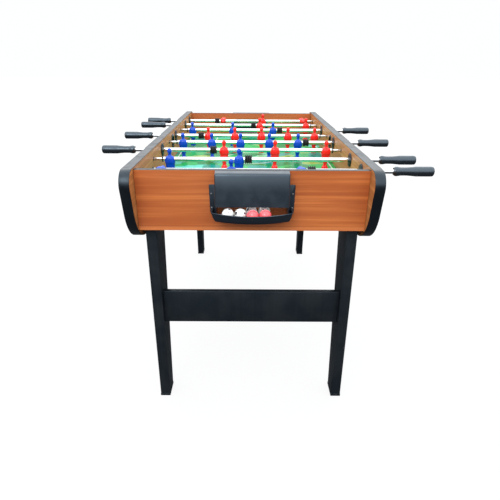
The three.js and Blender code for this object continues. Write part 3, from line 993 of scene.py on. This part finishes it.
class FOOSBALL_OT_cabinet(bpy.types.Operator):
    """Finishes the side and end boards and adds the edge bands and serve port rings"""

    bl_idname = "foosball.cabinet"
    bl_label = "Cabinet"

    def execute(self, context):
        for side, word in SIDES:
            finish_node(f"side_panel_{word}", side_wood())
            place(f"edge_band_{word}", edge_band_mesh(side), ROOT, "black_plastic")
            spot = facing((side * inner_half_width(), 0.0, self.port_height()), (side, 0, 0))
            place(f"serve_port_ring_{word}", port_ring_mesh(), ROOT, "black_plastic", spot)
        for word in ("front", "back"):
            finish_node(f"end_panel_{word}", end_wood(), 0.6 * MM)
            low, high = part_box(f"end_panel_{word}")
            top = high.z + context.scene.foosball_cabinet.strip_thickness
            over = 0.2 * MM
            strip = rounded_block((low.x, low.y - over, high.z), (high.x, high.y + over, top), over, 2)
            mesh = mesh_from(f"top strip {word}", strip, [plastic("edge band plastic")])
            place(f"top_strip_{word}", mesh, ROOT, "black_plastic")
        return {"FINISHED"}

    def port_height(self):
        opening = next(o for o in frame["record"]["physics"]["openings"] if o["name"] == "serve_port_right")
        low, high = opening["box_m"]
        return (low[2] + high[2]) / 2


class FOOSBALL_OT_playfield(bpy.types.Operator):
    """Prints the pitch on the playfield board"""

    bl_idname = "foosball.playfield"
    bl_label = "Playfield"

    def execute(self, context):
        finish_node("playfield", field_print())
        return {"FINISHED"}


# ---------------------------------------------------------------- leg frames


class FOOSBALL_OT_leg_frames(bpy.types.Operator):
    """Builds each tapered leg, brace, foot cap and bolt in place of the plain leg frames"""

    bl_idname = "foosball.leg_frames"
    bl_label = "Leg frames"

    # Below a leg's top and along the table from its middle.
    bolt_places = ((20 * MM, -26 * MM), (20 * MM, 26 * MM), (62 * MM, 0.0))
    bolt_scale = 1.6
    brace_screw_inset = 22 * MM

    def execute(self, context):
        s = context.scene.foosball_frame
        for end, word in ENDS:
            node = f"leg_frame_{word}"
            low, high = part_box(node)
            front = -low.y if end < 0 else high.y
            top_depth = high.y - low.y
            half = high.x
            for side, side_word in SIDES:
                xs = sorted((side * half, side * (half - s.leg_width)))
                block = self.leg(s, end, front, top_depth, high.z, xs)
                mesh = mesh_from("leg", block, [leg_laminate()])
                leg = place(f"leg_{word}_{side_word}", mesh, ROOT, "leg_board")
                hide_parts(node)
                ys = sorted((end * front, end * (front - s.foot_depth)))
                self.add_foot_cap(f"foot_cap_{word}_{side_word}", xs, ys, s)
                middle = end * (front - top_depth / 2)
                self.add_leg_bolts(f"leg_bolt_{word}_{side_word}", side, xs, middle, high.z)
            self.add_brace(word, node, end, half, front, s)
        return {"FINISHED"}

    def leg(self, s, end, front, top_depth, top, xs):
        """A board whose inner edge slopes, so that it narrows towards the floor."""
        narrow = s.foot_depth + (top_depth - s.foot_depth) * s.pad_height / top
        outline = rounded_corners([
            (end * front, s.pad_height, 0),
            (end * (front - narrow), s.pad_height, 0),
            (end * (front - top_depth), top, 0),
            (end * front, top, 0),
        ])
        block = pushed(outline, xs[0], xs[1], lambda a, b, depth: (depth, a, b))
        return soften(block, s.edge_radius, 3, lambda e: True)

    def add_foot_cap(self, name, xs, ys, s):
        lip = 0.8 * MM
        block = rounded_block(
            (xs[0] - lip, ys[0] - lip, 0.0), (xs[1] + lip, ys[1] + lip, s.pad_height - 0.1 * MM), 1.2 * MM
        )
        place(name, mesh_from("foot cap", block, [plastic("fitting plastic")]), ROOT, "black_plastic")

    def add_leg_bolts(self, name, side, xs, middle, top):
        inside = xs[0] if side > 0 else xs[1]
        for k, (drop, along) in enumerate(self.bolt_places):
            point = (inside, middle + along, top - drop)
            piece = add_screw(f"{name}_{k + 1}", point, (-side, 0, 0), 0.4 + k)
            piece.scale = (self.bolt_scale,) * 3

    def add_brace(self, word, node, end, half, front, s):
        face = front - s.brace_setback
        ys = sorted((end * face, end * (face - s.brace_thickness)))
        reach = half - s.leg_width - 0.2 * MM
        block = rounded_block((-reach, ys[0], s.brace_low), (reach, ys[1], s.brace_high), s.edge_radius)
        brace = place(f"brace_{word}", mesh_from("brace", block, [leg_laminate()]), ROOT, "leg_board")
        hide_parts(node)
        for side, side_word in SIDES:
            inset = self.brace_screw_inset
            for k, height in enumerate((s.brace_low + inset, s.brace_high - inset)):
                point = (side * half, sum(ys) / 2, height)
                add_screw(f"brace_screw_{word}_{side_word}_{k + 1}", point, (side, 0, 0), k + 0.7)


# ---------------------------------------------------------------- ball returns


class ReturnShape:
    """Sizes of the front ball return in the table's frame. The back one is turned half round."""

    def __init__(self, s):
        self.s = s
        low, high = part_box("ball_return_front")
        self.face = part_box("end_panel_front")[0].y
        self.back = high.y
        self.top, self.foot = high.z, low.z
        self.hood_half = high.x - s.flange_width
        self.tray_half = self.hood_half + s.tray_overhang
        self.hood_bottom = self.top - s.hood_depth
        self.rim = self.foot + s.tray_height
        self.tray_reach = self.back - low.y

    def out(self, distance):
        """The Y of a point that stands out from the board by a distance."""
        return self.face - distance

    def hood_outline(self, inset, back, lowest):
        """The hood's section, drawn in from the skin by an inset and open below."""
        s = self.s
        corners = [
            (back, lowest, 0),
            (back, self.top - inset, 0),
            (self.out(s.top_reach - inset), self.top - inset, s.top_radius - inset),
            (self.out(s.middle_reach - inset), self.top - s.middle_drop, s.shoulder_radius),
            (self.out(s.bottom_reach - inset), self.hood_bottom, 0),
        ]
        if lowest < self.hood_bottom:
            corners.append((self.out(s.bottom_reach - inset), lowest, 0))
        return rounded_corners(corners, 6)

    def tray_plan(self, inset, back):
        """The tray's plan as (x, y) points: straight cheeks, then an arc bowed towards the player."""
        s = self.s
        side = self.tray_half - inset
        bow = self.tray_reach - s.tray_cheek - inset
        radius = (side * side + bow * bow) / (2 * bow)
        sweep = math.asin(side / radius)
        centre = self.back - s.tray_cheek - bow + radius
        steps = 24
        corners = [(side, back, 0)]
        for k in range(steps + 1):
            angle = sweep * (1 - 2 * k / steps)
            rounding = 4.5 * MM if k in (0, steps) else 0
            corners.append((radius * math.sin(angle), centre - radius * math.cos(angle), rounding))
        corners.append((-side, back, 0))
        return rounded_corners(corners, 4)


def hood_mesh(shape):
    """The hood with its side walls, cheeks and screw flanges."""
    s = shape.s
    half, wall = shape.hood_half, s.wall

    def along_x(a, b, depth):
        return (depth, a, b)

    def along_y(a, b, depth):
        return (a, depth, b)

    def off_the_board(edge):
        return max(v.co.y for v in edge.verts) < shape.back - 0.1 * MM

    def shows(edge):
        lies_across = abs(edge.verts[0].co.x - edge.verts[1].co.x) > MM
        above_rim = min(v.co.z for v in edge.verts) > shape.hood_bottom + MM
        return off_the_board(edge) and (above_rim or not lies_across)

    hood = pushed(shape.hood_outline(0, shape.back, shape.hood_bottom), -half, half, along_x)
    soften(hood, s.corner_radius, 4, shows)
    inside = shape.hood_outline(wall, shape.back + MM, shape.hood_bottom - MM)
    steps = [("DIFFERENCE", pushed(inside, wall - half, half - wall, along_x))]
    cheek = rounded_corners([
        (shape.back, shape.foot + MM, 0),
        (shape.back, shape.hood_bottom + 2 * MM, 0),
        (shape.out(s.bottom_reach - 0.4 * MM), shape.hood_bottom + 2 * MM, 0),
        (shape.out(s.tray_cheek - MM), shape.rim, 6 * MM),
        (shape.out(s.tray_cheek - 3 * MM), shape.foot + MM, 3 * MM),
    ], 4)
    for side in (-1, 1):
        xs = sorted((side * half, side * (half - wall)))
        steps.append(("UNION", pushed(cheek, xs[0], xs[1], along_x)))
        inner, outer = side * (half - wall), side * (half + s.flange_width)
        flange = rounded_corners([
            (inner, shape.foot + 2 * MM, 0),
            (outer - side * 2 * MM, shape.foot + 2 * MM, 13 * MM),
            (outer, s.flange_top, 2.5 * MM),
            (inner, s.flange_top, 0),
        ], 5)
        plate = pushed(flange, shape.back, shape.back - wall, along_y)
        soften(plate, 0.7 * MM, 2, off_the_board)
        steps.append(("UNION", plate))
    return carve("ball return hood", hood, steps, [plastic("ball return plastic")], 38, 0.45 * MM)


def tray_mesh(shape):
    """The tray, open at the back, with tapered walls and a thin rolled rim."""
    s = shape.s
    taper, wall = s.tray_taper, s.wall

    def upward(a, b, depth):
        return (a, b, depth)

    outside = ((taper + 1.6 * MM, shape.foot), (taper - 0.3 * MM, shape.foot + 1.6 * MM),
               (taper * 0.45, shape.foot + s.tray_height * 0.42), (1.5 * MM, shape.rim - 3.2 * MM),
               (0.9 * MM, shape.rim - 2.2 * MM), (0.0, shape.rim - 1.7 * MM),
               (0.0, shape.rim - 0.5 * MM), (0.5 * MM, shape.rim))
    outer = stacked([(shape.tray_plan(inset, shape.back), z) for inset, z in outside], upward)
    floor = shape.foot + wall
    inside = ((taper + wall + 2.5 * MM, floor), (taper + wall, floor + 2.0 * MM),
              (wall + 0.5 * MM, shape.rim - 0.7 * MM), (wall - 0.2 * MM, shape.rim + MM))
    inner = stacked([(shape.tray_plan(inset, shape.back + 2 * MM), z) for inset, z in inside], upward)
    return carve("ball return tray", outer, [("DIFFERENCE", inner)], [plastic("ball return plastic")], 38)


class FOOSBALL_OT_ball_returns(bpy.types.Operator):
    """Builds the ball return mouldings, hood and tray, and their screws"""

    bl_idname = "foosball.ball_returns"
    bl_label = "Ball returns"

    # How far the flange screws are below the flange's upper end, and their place across its width.
    screw_drops = (23 * MM, 58 * MM)
    screw_share = 0.62
    screw_scale = 0.75
    # The lip screw's seat: below the tray's rim, and behind its foremost point.
    lip_screw_drop = 6.5 * MM
    lip_screw_depth = 3.6 * MM

    def execute(self, context):
        shape = ReturnShape(context.scene.foosball_returns)
        hood, tray = hood_mesh(shape), tray_mesh(shape)
        for angle, word in ((0.0, "front"), (math.pi, "back")):
            turn = Matrix.Rotation(angle, 4, "Z")
            node = f"ball_return_{word}"
            for mesh, name in ((hood, "hood"), (tray, "tray")):
                piece = place(f"{node}_{name}", mesh, ROOT, "return_plastic", turn)
                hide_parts(node)
            self.add_screws(shape, word, turn)
        return {"FINISHED"}

    def add_screws(self, shape, word, turn):
        s = shape.s
        screw_x = shape.hood_half + s.flange_width * self.screw_share
        proud = shape.back - s.wall
        small = Matrix.Scale(self.screw_scale, 4)
        for side, side_word in SIDES:
            for k, drop in enumerate(self.screw_drops):
                point = (side * screw_x, proud, s.flange_top - drop)
                screw = turn @ facing(point, (0, -1, 0), side * (k + 0.3))
                name = f"return_screw_{word}_{side_word}_{k + 1}"
                place(name, screw_mesh(), ROOT, "screw_steel", screw @ small)
        lip = shape.back - shape.tray_reach + self.lip_screw_depth
        screw = turn @ facing((0.0, lip, shape.rim - self.lip_screw_drop), (0, -1, 0), 0.5)
        place(f"return_lip_screw_{word}", screw_mesh(), ROOT, "screw_steel", screw @ small)


class FOOSBALL_OT_balls(bpy.types.Operator):
    """Lays the six loose balls in the front tray, in two rows"""

    bl_idname = "foosball.balls"
    bl_label = "Balls"

    # Across the table and out from the end board to the ball's middle, in mm, and the kind of ball.
    spots = (
        (-57.0, 36.0, "spotted"),
        (-27.2, 36.0, "spotted"),
        (1.5, 46.5, "pink"),
        (31.0, 44.0, "pink"),
        (-1.5, 14.9, "spotted"),
        (29.5, 14.9, "spotted"),
    )

    def execute(self, context):
        s = context.scene.foosball_returns
        shape = ReturnShape(s)
        height = shape.foot + s.wall + s.ball_radius + 0.1 * MM
        for i, (x, out, kind) in enumerate(self.spots):
            bm = bmesh.new()
            bmesh.ops.create_icosphere(bm, subdivisions=4, radius=s.ball_radius)
            material = spotted_ball() if kind == "spotted" else pink_ball()
            mesh = mesh_from(f"ball {i + 1}", bm, [material], 180)
            centre = Vector((x * MM, shape.out(out * MM), height))
            turn = Matrix.Identity(4)
            if kind == "spotted":
                turn = Matrix.Rotation(0.6 * i, 4, "Z") @ Matrix.Rotation(0.9 * i + 0.4, 4, "X")
            place(f"ball_{i + 1}", mesh, ROOT, "ball_plastic", Matrix.Translation(centre) @ turn)
        return {"FINISHED"}


# ---------------------------------------------------------------- rods


def tube_mesh(span, radius):
    s = bpy.context.scene.foosball_rods
    bore = radius - s.tube_wall
    bm = lathe(rounded_profile([
        (span[0], bore, 0.2 * MM),
        (span[0], radius, 0.5 * MM),
        (span[1], radius, 0.5 * MM),
        (span[1], bore, 0.2 * MM),
    ], 3), s.tube_sides, closed=True)
    return mesh_from("chrome tube", bm, [chrome()])


def inner_rod_mesh(span, radius):
    bm = lathe(rounded_profile([
        (span[0], 0.0, 0),
        (span[0], radius, 0.5 * MM),
        (span[1], radius, 0.8 * MM),
        (span[1], 0.0, 0),
    ]), 32)
    return mesh_from("inner rod", bm, [drawn_steel()])


def end_ring_mesh(tube_radius):
    s = bpy.context.scene.foosball_rods
    bm = lathe(rounded_profile([
        (0.0, tube_radius + 0.05 * MM, 0.3 * MM),
        (0.0, s.ring_radius, MM),
        (s.ring_length, s.ring_radius, MM),
        (s.ring_length, tube_radius + 0.05 * MM, 0.3 * MM),
    ], 4), 40, closed=True)
    return mesh_from("tube end ring", bm, [plastic("black rubber")])


def bumper_mesh(tube_radius):
    """A rubber sleeve with round fins along it."""
    s = bpy.context.scene.foosball_rods
    fins, root = s.bumper_fins, s.bumper_radius - s.fin_depth
    outside = []
    samples = fins * 12
    for k in range(samples + 1):
        t = k / samples
        wave = 0.5 - 0.5 * math.cos(2 * math.pi * fins * t)
        outside.append((t * s.bumper_length, root + (s.bumper_radius - root) * wave ** 0.5))
    bore = tube_radius + 0.05 * MM
    profile = [(0.0, bore), *outside, (s.bumper_length, bore)]
    return mesh_from("finned bumper", lathe(profile, 40, closed=True), [plastic("black rubber")], 60)


class FOOSBALL_OT_rods(bpy.types.Operator):
    """Builds the chrome tubes, inner rods, end rings and bumpers"""

    bl_idname = "foosball.rods"
    bl_label = "Rods"

    def execute(self, context):
        s = context.scene.foosball_rods
        for rod in rod_facts():
            name = rod["name"]
            tube = along_handle(rod, f"{name}_tube")
            radius = bar_radius(f"{name}_tube")
            spot = handle_frame(rod)
            piece = place(f"{name}_chrome_tube", tube_mesh(tube, radius), rod["body"], "chrome", spot)
            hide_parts(f"{name}_tube")

            inner = along_handle(rod, f"{name}_inner_rod")
            mesh = inner_rod_mesh(inner, bar_radius(f"{name}_inner_rod"))
            piece = place(f"{name}_telescopic_rod", mesh, rod["inner_body"], "steel", spot)
            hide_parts(f"{name}_inner_rod")

            ring = handle_frame(rod, tube[0] + 0.4 * MM)
            place(f"{name}_end_ring", end_ring_mesh(radius), rod["body"], "black_rubber", ring)
            bumper = handle_frame(rod, self.stop(s) - rod["travel"] - s.bumper_length)
            place(f"{name}_bumper", bumper_mesh(radius), rod["body"], "black_rubber", bumper)
        return {"FINISHED"}

    def stop(self, s):
        """Where a bumper's outer end is when the rod is pulled out as far as it goes."""
        return inner_half_width() - s.flange_thickness - s.hub_height - s.bumper_gap


def bushing_mesh(tube_radius):
    """A bushing pushed in from inside the table: its flange lies on the inner face at x = 0."""
    s = bpy.context.scene.foosball_rods
    wall = outer_half_width() - inner_half_width()
    bore = tube_radius + 0.4 * MM
    barrel = 10.0 * MM
    lip = s.flange_radius
    bm = lathe(rounded_profile([
        (-s.flange_thickness - s.hub_height, bore, 0.3 * MM),
        (-s.flange_thickness - s.hub_height, bore + 1.8 * MM, 0.5 * MM),
        (-s.flange_thickness, bore + 2.4 * MM, 0.4 * MM),
        (-s.flange_thickness, lip - 1.2 * MM, 0.9 * MM),
        (-0.9 * MM, lip, 0.7 * MM),
        (-0.1 * MM, lip, 0),
        (-0.1 * MM, barrel, 0),
        (wall + 1.5 * MM, barrel, 0.6 * MM),
        (wall + 1.5 * MM, bore, 0.4 * MM),
    ], 4), 48, closed=True)
    return mesh_from("rod bushing", bm, [plastic("fitting plastic")])


def bushing_nut_mesh():
    """The ring nut that clamps a bushing from outside, on the outer face at x = 0."""
    hub, rim, tall = 10.3 * MM, 15.5 * MM, 3.6 * MM

    def notches(x, angle):
        return 1.0 - 0.055 * (0.5 + 0.5 * math.cos(8 * angle)) ** 4

    bm = lathe(rounded_profile([
        (0.1 * MM, hub, 0),
        (0.1 * MM, rim, 0.3 * MM),
        (tall, rim - 0.8 * MM, 1.1 * MM),
        (tall, hub, 0.5 * MM),
    ], 4), 64, closed=True, shape=notches)
    return mesh_from("bushing nut", bm, [plastic("fitting plastic")])


def socket_mesh(rod_radius):
    """A small lipped socket on the far wall, whose inner face is at x = 0 and faces +X."""
    s = bpy.context.scene.foosball_rods
    bore = rod_radius + 0.2 * MM
    bm = lathe(rounded_profile([
        (0.1 * MM, bore + 0.25 * MM, 0),
        (0.1 * MM, s.socket_radius, 0.3 * MM),
        (1.1 * MM, s.socket_radius - 0.6 * MM, 0.5 * MM),
        (1.1 * MM, bore, 0.2 * MM),
    ], 4), 36, closed=True)
    return mesh_from("rod socket", bm, [plastic("fitting plastic")])


class FOOSBALL_OT_bushings(bpy.types.Operator):
    """Adds the bushing and nut each rod slides in, and the socket that holds its inner rod"""

    bl_idname = "foosball.bushings"
    bl_label = "Bushings"

    def execute(self, context):
        inner, outer = inner_half_width(), outer_half_width()
        for rod in rod_facts():
            name = rod["name"]
            fittings = (
                ("bushing", bushing_mesh(bar_radius(f"{name}_tube")), inner),
                ("bushing_nut", bushing_nut_mesh(), outer),
                ("socket", socket_mesh(bar_radius(f"{name}_inner_rod")), -inner),
            )
            for kind, mesh, x in fittings:
                place(f"{name}_{kind}", mesh, ROOT, "black_plastic", handle_frame(rod, x))
        return {"FINISHED"}


# ---------------------------------------------------------------- grips


def grip_mesh(length, bore_depth):
    """A moulded grip: flared collar, finger waist, flat-sided outer half and a seamed end cap."""
    s = bpy.context.scene.foosball_grips
    step = length * 0.535
    cap = length - 9 * MM
    bore = 6.1 * MM
    outside = rounded_profile([
        (bore_depth, 0.0, 0),
        (bore_depth, bore, 0),
        (0.0, bore, 0.3 * MM),
        (0.0, s.collar_radius - 2.4 * MM, 0.5 * MM),
        (2.6 * MM, s.collar_radius - 1.6 * MM, 0.6 * MM),
        (4.0 * MM, s.collar_radius, 1.6 * MM),
        (10.0 * MM, s.collar_radius, 6 * MM),
        (18.0 * MM, s.waist_radius, 12 * MM),
        (34.0 * MM, s.waist_radius, 16 * MM),
        (step, s.palm_radius - 0.5 * MM, 4 * MM),
        (step + 1.2 * MM, s.palm_radius, 0.5 * MM),
        (cap, s.palm_radius, 0.3 * MM),
        (cap + 0.5 * MM, s.palm_radius - 0.6 * MM, 0.2 * MM),
        (cap + 1.1 * MM, s.palm_radius - 0.1 * MM, 0.3 * MM),
        (length - 2.5 * MM, s.palm_radius - 0.4 * MM, 1.6 * MM),
        (length, s.palm_radius - 3.0 * MM, 1.8 * MM),
        (length, 0.0, 0),
    ], 4)

    def flats(x, angle):
        if x < step or x > cap:
            return 1.0
        ramp = min(1.0, (x - step) / (3 * MM), (cap - x) / (2 * MM))
        within = (angle * s.flats / (2 * math.pi)) % 1.0 - 0.5
        flat = math.cos(math.pi / s.flats) / math.cos(within * 2 * math.pi / s.flats)
        groove = 0.035 * max(0.0, (abs(within) - 0.40) / 0.10)
        return 1.0 + max(0.0, ramp) * (flat - 1.0 - groove)

    return mesh_from("grip", lathe(outside, 80, shape=flats), [plastic("grip plastic")], 40)


class FOOSBALL_OT_grips(bpy.types.Operator):
    """Builds the moulded grips"""

    bl_idname = "foosball.grips"
    bl_label = "Grips"

    def execute(self, context):
        mesh = None
        for rod in rod_facts():
            name = rod["name"]
            near, far = along_handle(rod, f"{name}_grip")
            tube_end = along_handle(rod, f"{name}_tube")[1]
            mesh = mesh or grip_mesh(far - near, tube_end - near + 0.3 * MM)
            spot = handle_frame(rod, near)
            grip = place(f"{name}_moulded_grip", mesh, rod["body"], "grip_plastic", spot)
            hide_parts(f"{name}_grip")
        return {"FINISHED"}


# ---------------------------------------------------------------- players

# Sections of a player from the foot up, in mm from the rod's centre line: height, half width, half
# depth, squareness. The heights below the shirt stretch from the drawn foot to the real one.
MAN_SECTIONS = (
    (-61.0, 8.6, 6.2, 4.5),
    (-60.3, 9.8, 7.6, 4.5),
    (-57.0, 10.0, 8.0, 4.5),
    (-53.5, 9.7, 8.0, 4.2),
    (-50.0, 8.2, 7.3, 3.6),
    (-47.0, 6.2, 6.0, 2.8),
    (-43.5, 5.5, 5.4, 2.4),
    (-38.0, 6.2, 5.8, 2.3),
    (-33.0, 8.4, 6.9, 2.4),
    (-29.2, 10.2, 7.8, 2.6),
    (-28.6, 11.4, 8.4, 2.7),
    (-22.0, 12.3, 8.9, 2.7),
    (-16.0, 12.8, 9.3, 2.7),
    (-12.4, 13.1, 9.4, 2.7),
    (-11.8, 13.9, 9.9, 2.7),
    (-7.0, 14.8, 10.0, 2.6),
    (-2.0, 15.4, 10.0, 2.5),
    (1.0, 15.4, 9.9, 2.4),
    (3.4, 14.7, 9.4, 2.3),
    (5.6, 12.4, 8.5, 2.2),
    (7.6, 9.0, 7.0, 2.1),
    (9.2, 5.9, 5.5, 2.0),
    (11.0, 4.7, 4.7, 2.0),
    (13.6, 4.3, 4.4, 2.0),
    (16.0, 4.4, 4.6, 2.0),
    (17.6, 5.2, 5.3, 2.0),
    (19.6, 6.1, 6.3, 2.0),
    (22.6, 6.5, 6.6, 2.0),
    (25.6, 6.2, 6.4, 2.0),
    (28.2, 4.9, 5.1, 2.0),
    (29.9, 2.7, 2.9, 2.0),
)
MAN_HEAD_TOP = 30.6
MAN_SHIRT_HEM = -12.0
MAN_DRAWN_FOOT = -61.0
MAN_BORE = 6.05
MAN_BORE_REACH = 30.0


def hill(value, centre, width):
    return math.exp(-(((value - centre) / width) ** 2))


def man_mesh(foot_reach, material):
    """A moulded player, facing +Y, with its rod along X through the origin: arms lie against the body,
    a groove parts the legs, the shirt and shorts have raised hems and the foot is one flared block."""
    s = bpy.context.scene.foosball_men
    hem = MAN_SHIRT_HEM
    legs = (foot_reach / MM + hem) / (hem - MAN_DRAWN_FOOT)
    bm = bmesh.new()
    rings = []
    for z, a, b, power in MAN_SECTIONS:
        height = z if z > hem else hem + (z - hem) * legs
        ring = []
        for k in range(s.around):
            angle = 2 * math.pi * (k + 0.5) / s.around
            cos, sin = math.cos(angle), math.sin(angle)
            x = a * math.copysign(abs(cos) ** (2 / power), cos)
            y = b * math.copysign(abs(sin) ** (2 / power), sin)
            arms = hill(z, -1.5, 8.5) * hill(abs(x), 11.2, 1.5)
            y *= 1.0 - 0.17 * arms
            part = hill(x, 0.0, 1.7) * (hill(z, -38.0, 11.0) + 0.35 * hill(z, -56.0, 5.0))
            y *= 1.0 - 0.30 * min(1.0, part)
            belly = 0.5 * hill(z, -3.0, 9.0) * hill(x, 0.0, 6.0) if sin > 0 else 0.0
            ring.append(bm.verts.new((x * MM, (y + belly) * MM, height * MM)))
        rings.append(ring)
    skin_rings(bm, rings)
    for ring, tip in ((rings[0], -foot_reach), (rings[-1], MAN_HEAD_TOP * MM)):
        pole = bm.verts.new((0.0, 0.0, tip))
        for k in range(s.around):
            bm.faces.new((pole, ring[k], ring[(k + 1) % s.around]))
    bmesh.ops.recalc_face_normals(bm, faces=bm.faces)
    far, radius = MAN_BORE_REACH * MM, MAN_BORE * MM
    bore = lathe([(-far, 0.0), (-far, radius), (far, radius), (far, 0.0)], 40)
    return carve(f"{material.name} player", bm, [("DIFFERENCE", bore)], [material], 48)


class FOOSBALL_OT_players(bpy.types.Operator):
    """Builds the 26 players, upright or lying as the frame holds them, with their cross screws"""

    bl_idname = "foosball.players"
    bl_label = "Players"

    # From the rod's centre line to the seat of a player's cross screw.
    screw_depth = 8.9 * MM

    def execute(self, context):
        meshes = {}
        for rod in rod_facts():
            team = rod["team"]
            for node in rod["men"]:
                low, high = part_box(node)
                if team not in meshes:
                    meshes[team] = man_mesh(self.reach(rod, low, high), plastic(f"{team} player plastic"))
                near, far = along_handle(rod, node)
                spot = handle_frame(rod, (near + far) / 2) @ self.lean(rod, low, high)
                man = place(f"{node}_moulding", meshes[team], rod["body"], f"{team}_plastic", spot)
                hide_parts(node)
                behind = rod["side"]
                point = (0.0, behind * self.screw_depth, 0.0)
                screw = spot @ facing(point, (0, behind, 0), 0.6)
                place(f"{node}_screw", screw_mesh(), rod["body"], "screw_steel", screw)
        return {"FINISHED"}

    def upright(self, low, high):
        return high.z - low.z > high.y - low.y

    def reach(self, rod, low, high):
        """How far the foot is from the rod's centre line."""
        if self.upright(low, high):
            return rod["z"] - low.z
        return max(high.y - rod["y"], rod["y"] - low.y)

    def lean(self, rod, low, high):
        if self.upright(low, high):
            return Matrix.Identity(4)
        feet = 1 if high.y - rod["y"] > rod["y"] - low.y else -1
        return Matrix.Rotation(feet * rod["side"] * math.pi / 2, 4, "X")


# ---------------------------------------------------------------- stage


class FOOSBALL_OT_stage(bpy.types.Operator):
    """Sets up the camera, the floor and the soft studio light"""

    bl_idname = "foosball.stage"
    bl_label = "Stage"

    key_place = (-0.9, -2.8, 2.7)
    key_target = (0.0, 0.0, 0.6)
    key_size = 1.8
    floor_size = 20.0
    # Strength of the white that the camera sees behind the table.
    backdrop = 1.02

    def execute(self, context):
        s = context.scene.foosball_stage
        self.add_camera(context, s)
        self.add_floor(context, s)
        self.add_world(context, s)
        self.add_light(context, "key light", self.key_place, self.key_target, self.key_size, s.key_power)
        context.scene.view_settings.view_transform = "Standard"
        return {"FINISHED"}

    def add_camera(self, context, s):
        data = bpy.data.cameras.new("camera")
        data.lens = s.focal_length
        data.sensor_width = 36.0
        data.clip_end = 60.0
        camera = bpy.data.objects.new("camera", data)
        context.scene.collection.objects.link(camera)
        heading = Matrix.Rotation(-s.camera_turn, 4, "Z")
        tilt = Matrix.Rotation(math.pi / 2 - s.camera_down, 4, "X")
        roll = Matrix.Rotation(s.camera_roll, 4, "Z")
        camera.matrix_world = Matrix.Translation(s.camera_place) @ heading @ tilt @ roll
        context.scene.camera = camera

    def add_floor(self, context, s):
        """A dark floor with a white glow that only the camera sees, so that it doesn't light the table."""
        bm = bmesh.new()
        bmesh.ops.create_grid(bm, x_segments=8, y_segments=8, size=self.floor_size)
        material, w, shader, place_on = new_material("studio floor")
        tone = w.noise(place_on, 1.2, 2.0)
        base = tuple(s.floor_colour)
        w.join(w.mix(tone, base, tuple(c * 0.97 for c in base)), shader.inputs["Base Color"])
        shader.inputs["Roughness"].default_value = 0.8
        shader.inputs["Specular IOR Level"].default_value = 0.1
        shader.inputs["Emission Color"].default_value = (1.0, 1.0, 1.0, 1.0)
        seen = w.add("ShaderNodeLightPath").outputs["Is Camera Ray"]
        w.join(w.math("MULTIPLY", seen, s.floor_glow), shader.inputs["Emission Strength"])
        floor = bpy.data.objects.new("floor", mesh_from("floor", bm, [material]))
        context.scene.collection.objects.link(floor)
        floor.location.z = -0.2 * MM

    def add_world(self, context, s):
        """White to the camera; to everything else dark at eye level and bright above."""
        world = bpy.data.worlds.new("studio")
        world.use_nodes = True
        w = Wiring(world.node_tree)
        background = next(n for n in world.node_tree.nodes if n.type == "BACKGROUND")
        split = w.add("ShaderNodeSeparateXYZ")
        w.join(w.add("ShaderNodeTexCoord").outputs["Generated"], split.inputs[0])
        sky = w.spread(split.outputs["Z"], -0.05, 0.42, s.horizon_strength, s.sky_strength)
        seen = w.add("ShaderNodeLightPath").outputs["Is Camera Ray"]
        unseen = w.math("SUBTRACT", 1.0, seen)
        white = w.math("MULTIPLY", seen, self.backdrop)
        w.join(w.math("MULTIPLY_ADD", unseen, sky, white), background.inputs["Strength"])
        background.inputs["Color"].default_value = (0.97, 0.985, 1.0, 1.0)
        context.scene.world = world

    def add_light(self, context, name, at, towards, size, power):
        data = bpy.data.lights.new(name, "AREA")
        data.shape = "DISK"
        data.size = size
        data.energy = power
        light = bpy.data.objects.new(name, data)
        context.scene.collection.objects.link(light)
        aim = (Vector(towards) - Vector(at)).to_track_quat("-Z", "Y")
        light.matrix_world = Matrix.Translation(at) @ aim.to_matrix().to_4x4()


# ---------------------------------------------------------------- add-on


SETTINGS = {
    "foosball_stage": StageSettings,
    "foosball_cabinet": CabinetSettings,
    "foosball_field": FieldSettings,
    "foosball_frame": FrameSettings,
    "foosball_returns": ReturnSettings,
    "foosball_rods": RodSettings,
    "foosball_grips": GripSettings,
    "foosball_men": ManSettings,
}
OPERATORS = (
    FOOSBALL_OT_stage,
    FOOSBALL_OT_cabinet,
    FOOSBALL_OT_playfield,
    FOOSBALL_OT_leg_frames,
    FOOSBALL_OT_ball_returns,
    FOOSBALL_OT_balls,
    FOOSBALL_OT_rods,
    FOOSBALL_OT_bushings,
    FOOSBALL_OT_grips,
    FOOSBALL_OT_players,
)


class FOOSBALL_PT_panel(bpy.types.Panel):
    """Runs the operators and shows every setting"""

    bl_idname = "FOOSBALL_PT_panel"
    bl_label = "Foosball Table"
    bl_space_type = "VIEW_3D"
    bl_region_type = "UI"
    bl_category = "Foosball"

    def draw(self, context):
        for operator in OPERATORS:
            self.layout.operator(operator.bl_idname)
        for key, group in SETTINGS.items():
            box = self.layout.box()
            for name in group.__annotations__:
                box.prop(getattr(context.scene, key), name)


def register():
    for key, group in SETTINGS.items():
        bpy.utils.register_class(group)
        setattr(bpy.types.Scene, key, PointerProperty(type=group))
    for operator in OPERATORS:
        bpy.utils.register_class(operator)
    bpy.utils.register_class(FOOSBALL_PT_panel)


def unregister():
    bpy.utils.unregister_class(FOOSBALL_PT_panel)
    for operator in reversed(OPERATORS):
        bpy.utils.unregister_class(operator)
    for key, group in reversed(SETTINGS.items()):
        delattr(bpy.types.Scene, key)
        bpy.utils.unregister_class(group)


def main():
    register()
    for operator in OPERATORS:
        group, name = operator.bl_idname.split(".")
        getattr(getattr(bpy.ops, group), name)()
    bpy.context.view_layer.update()


if __name__ == "__main__":
    main()
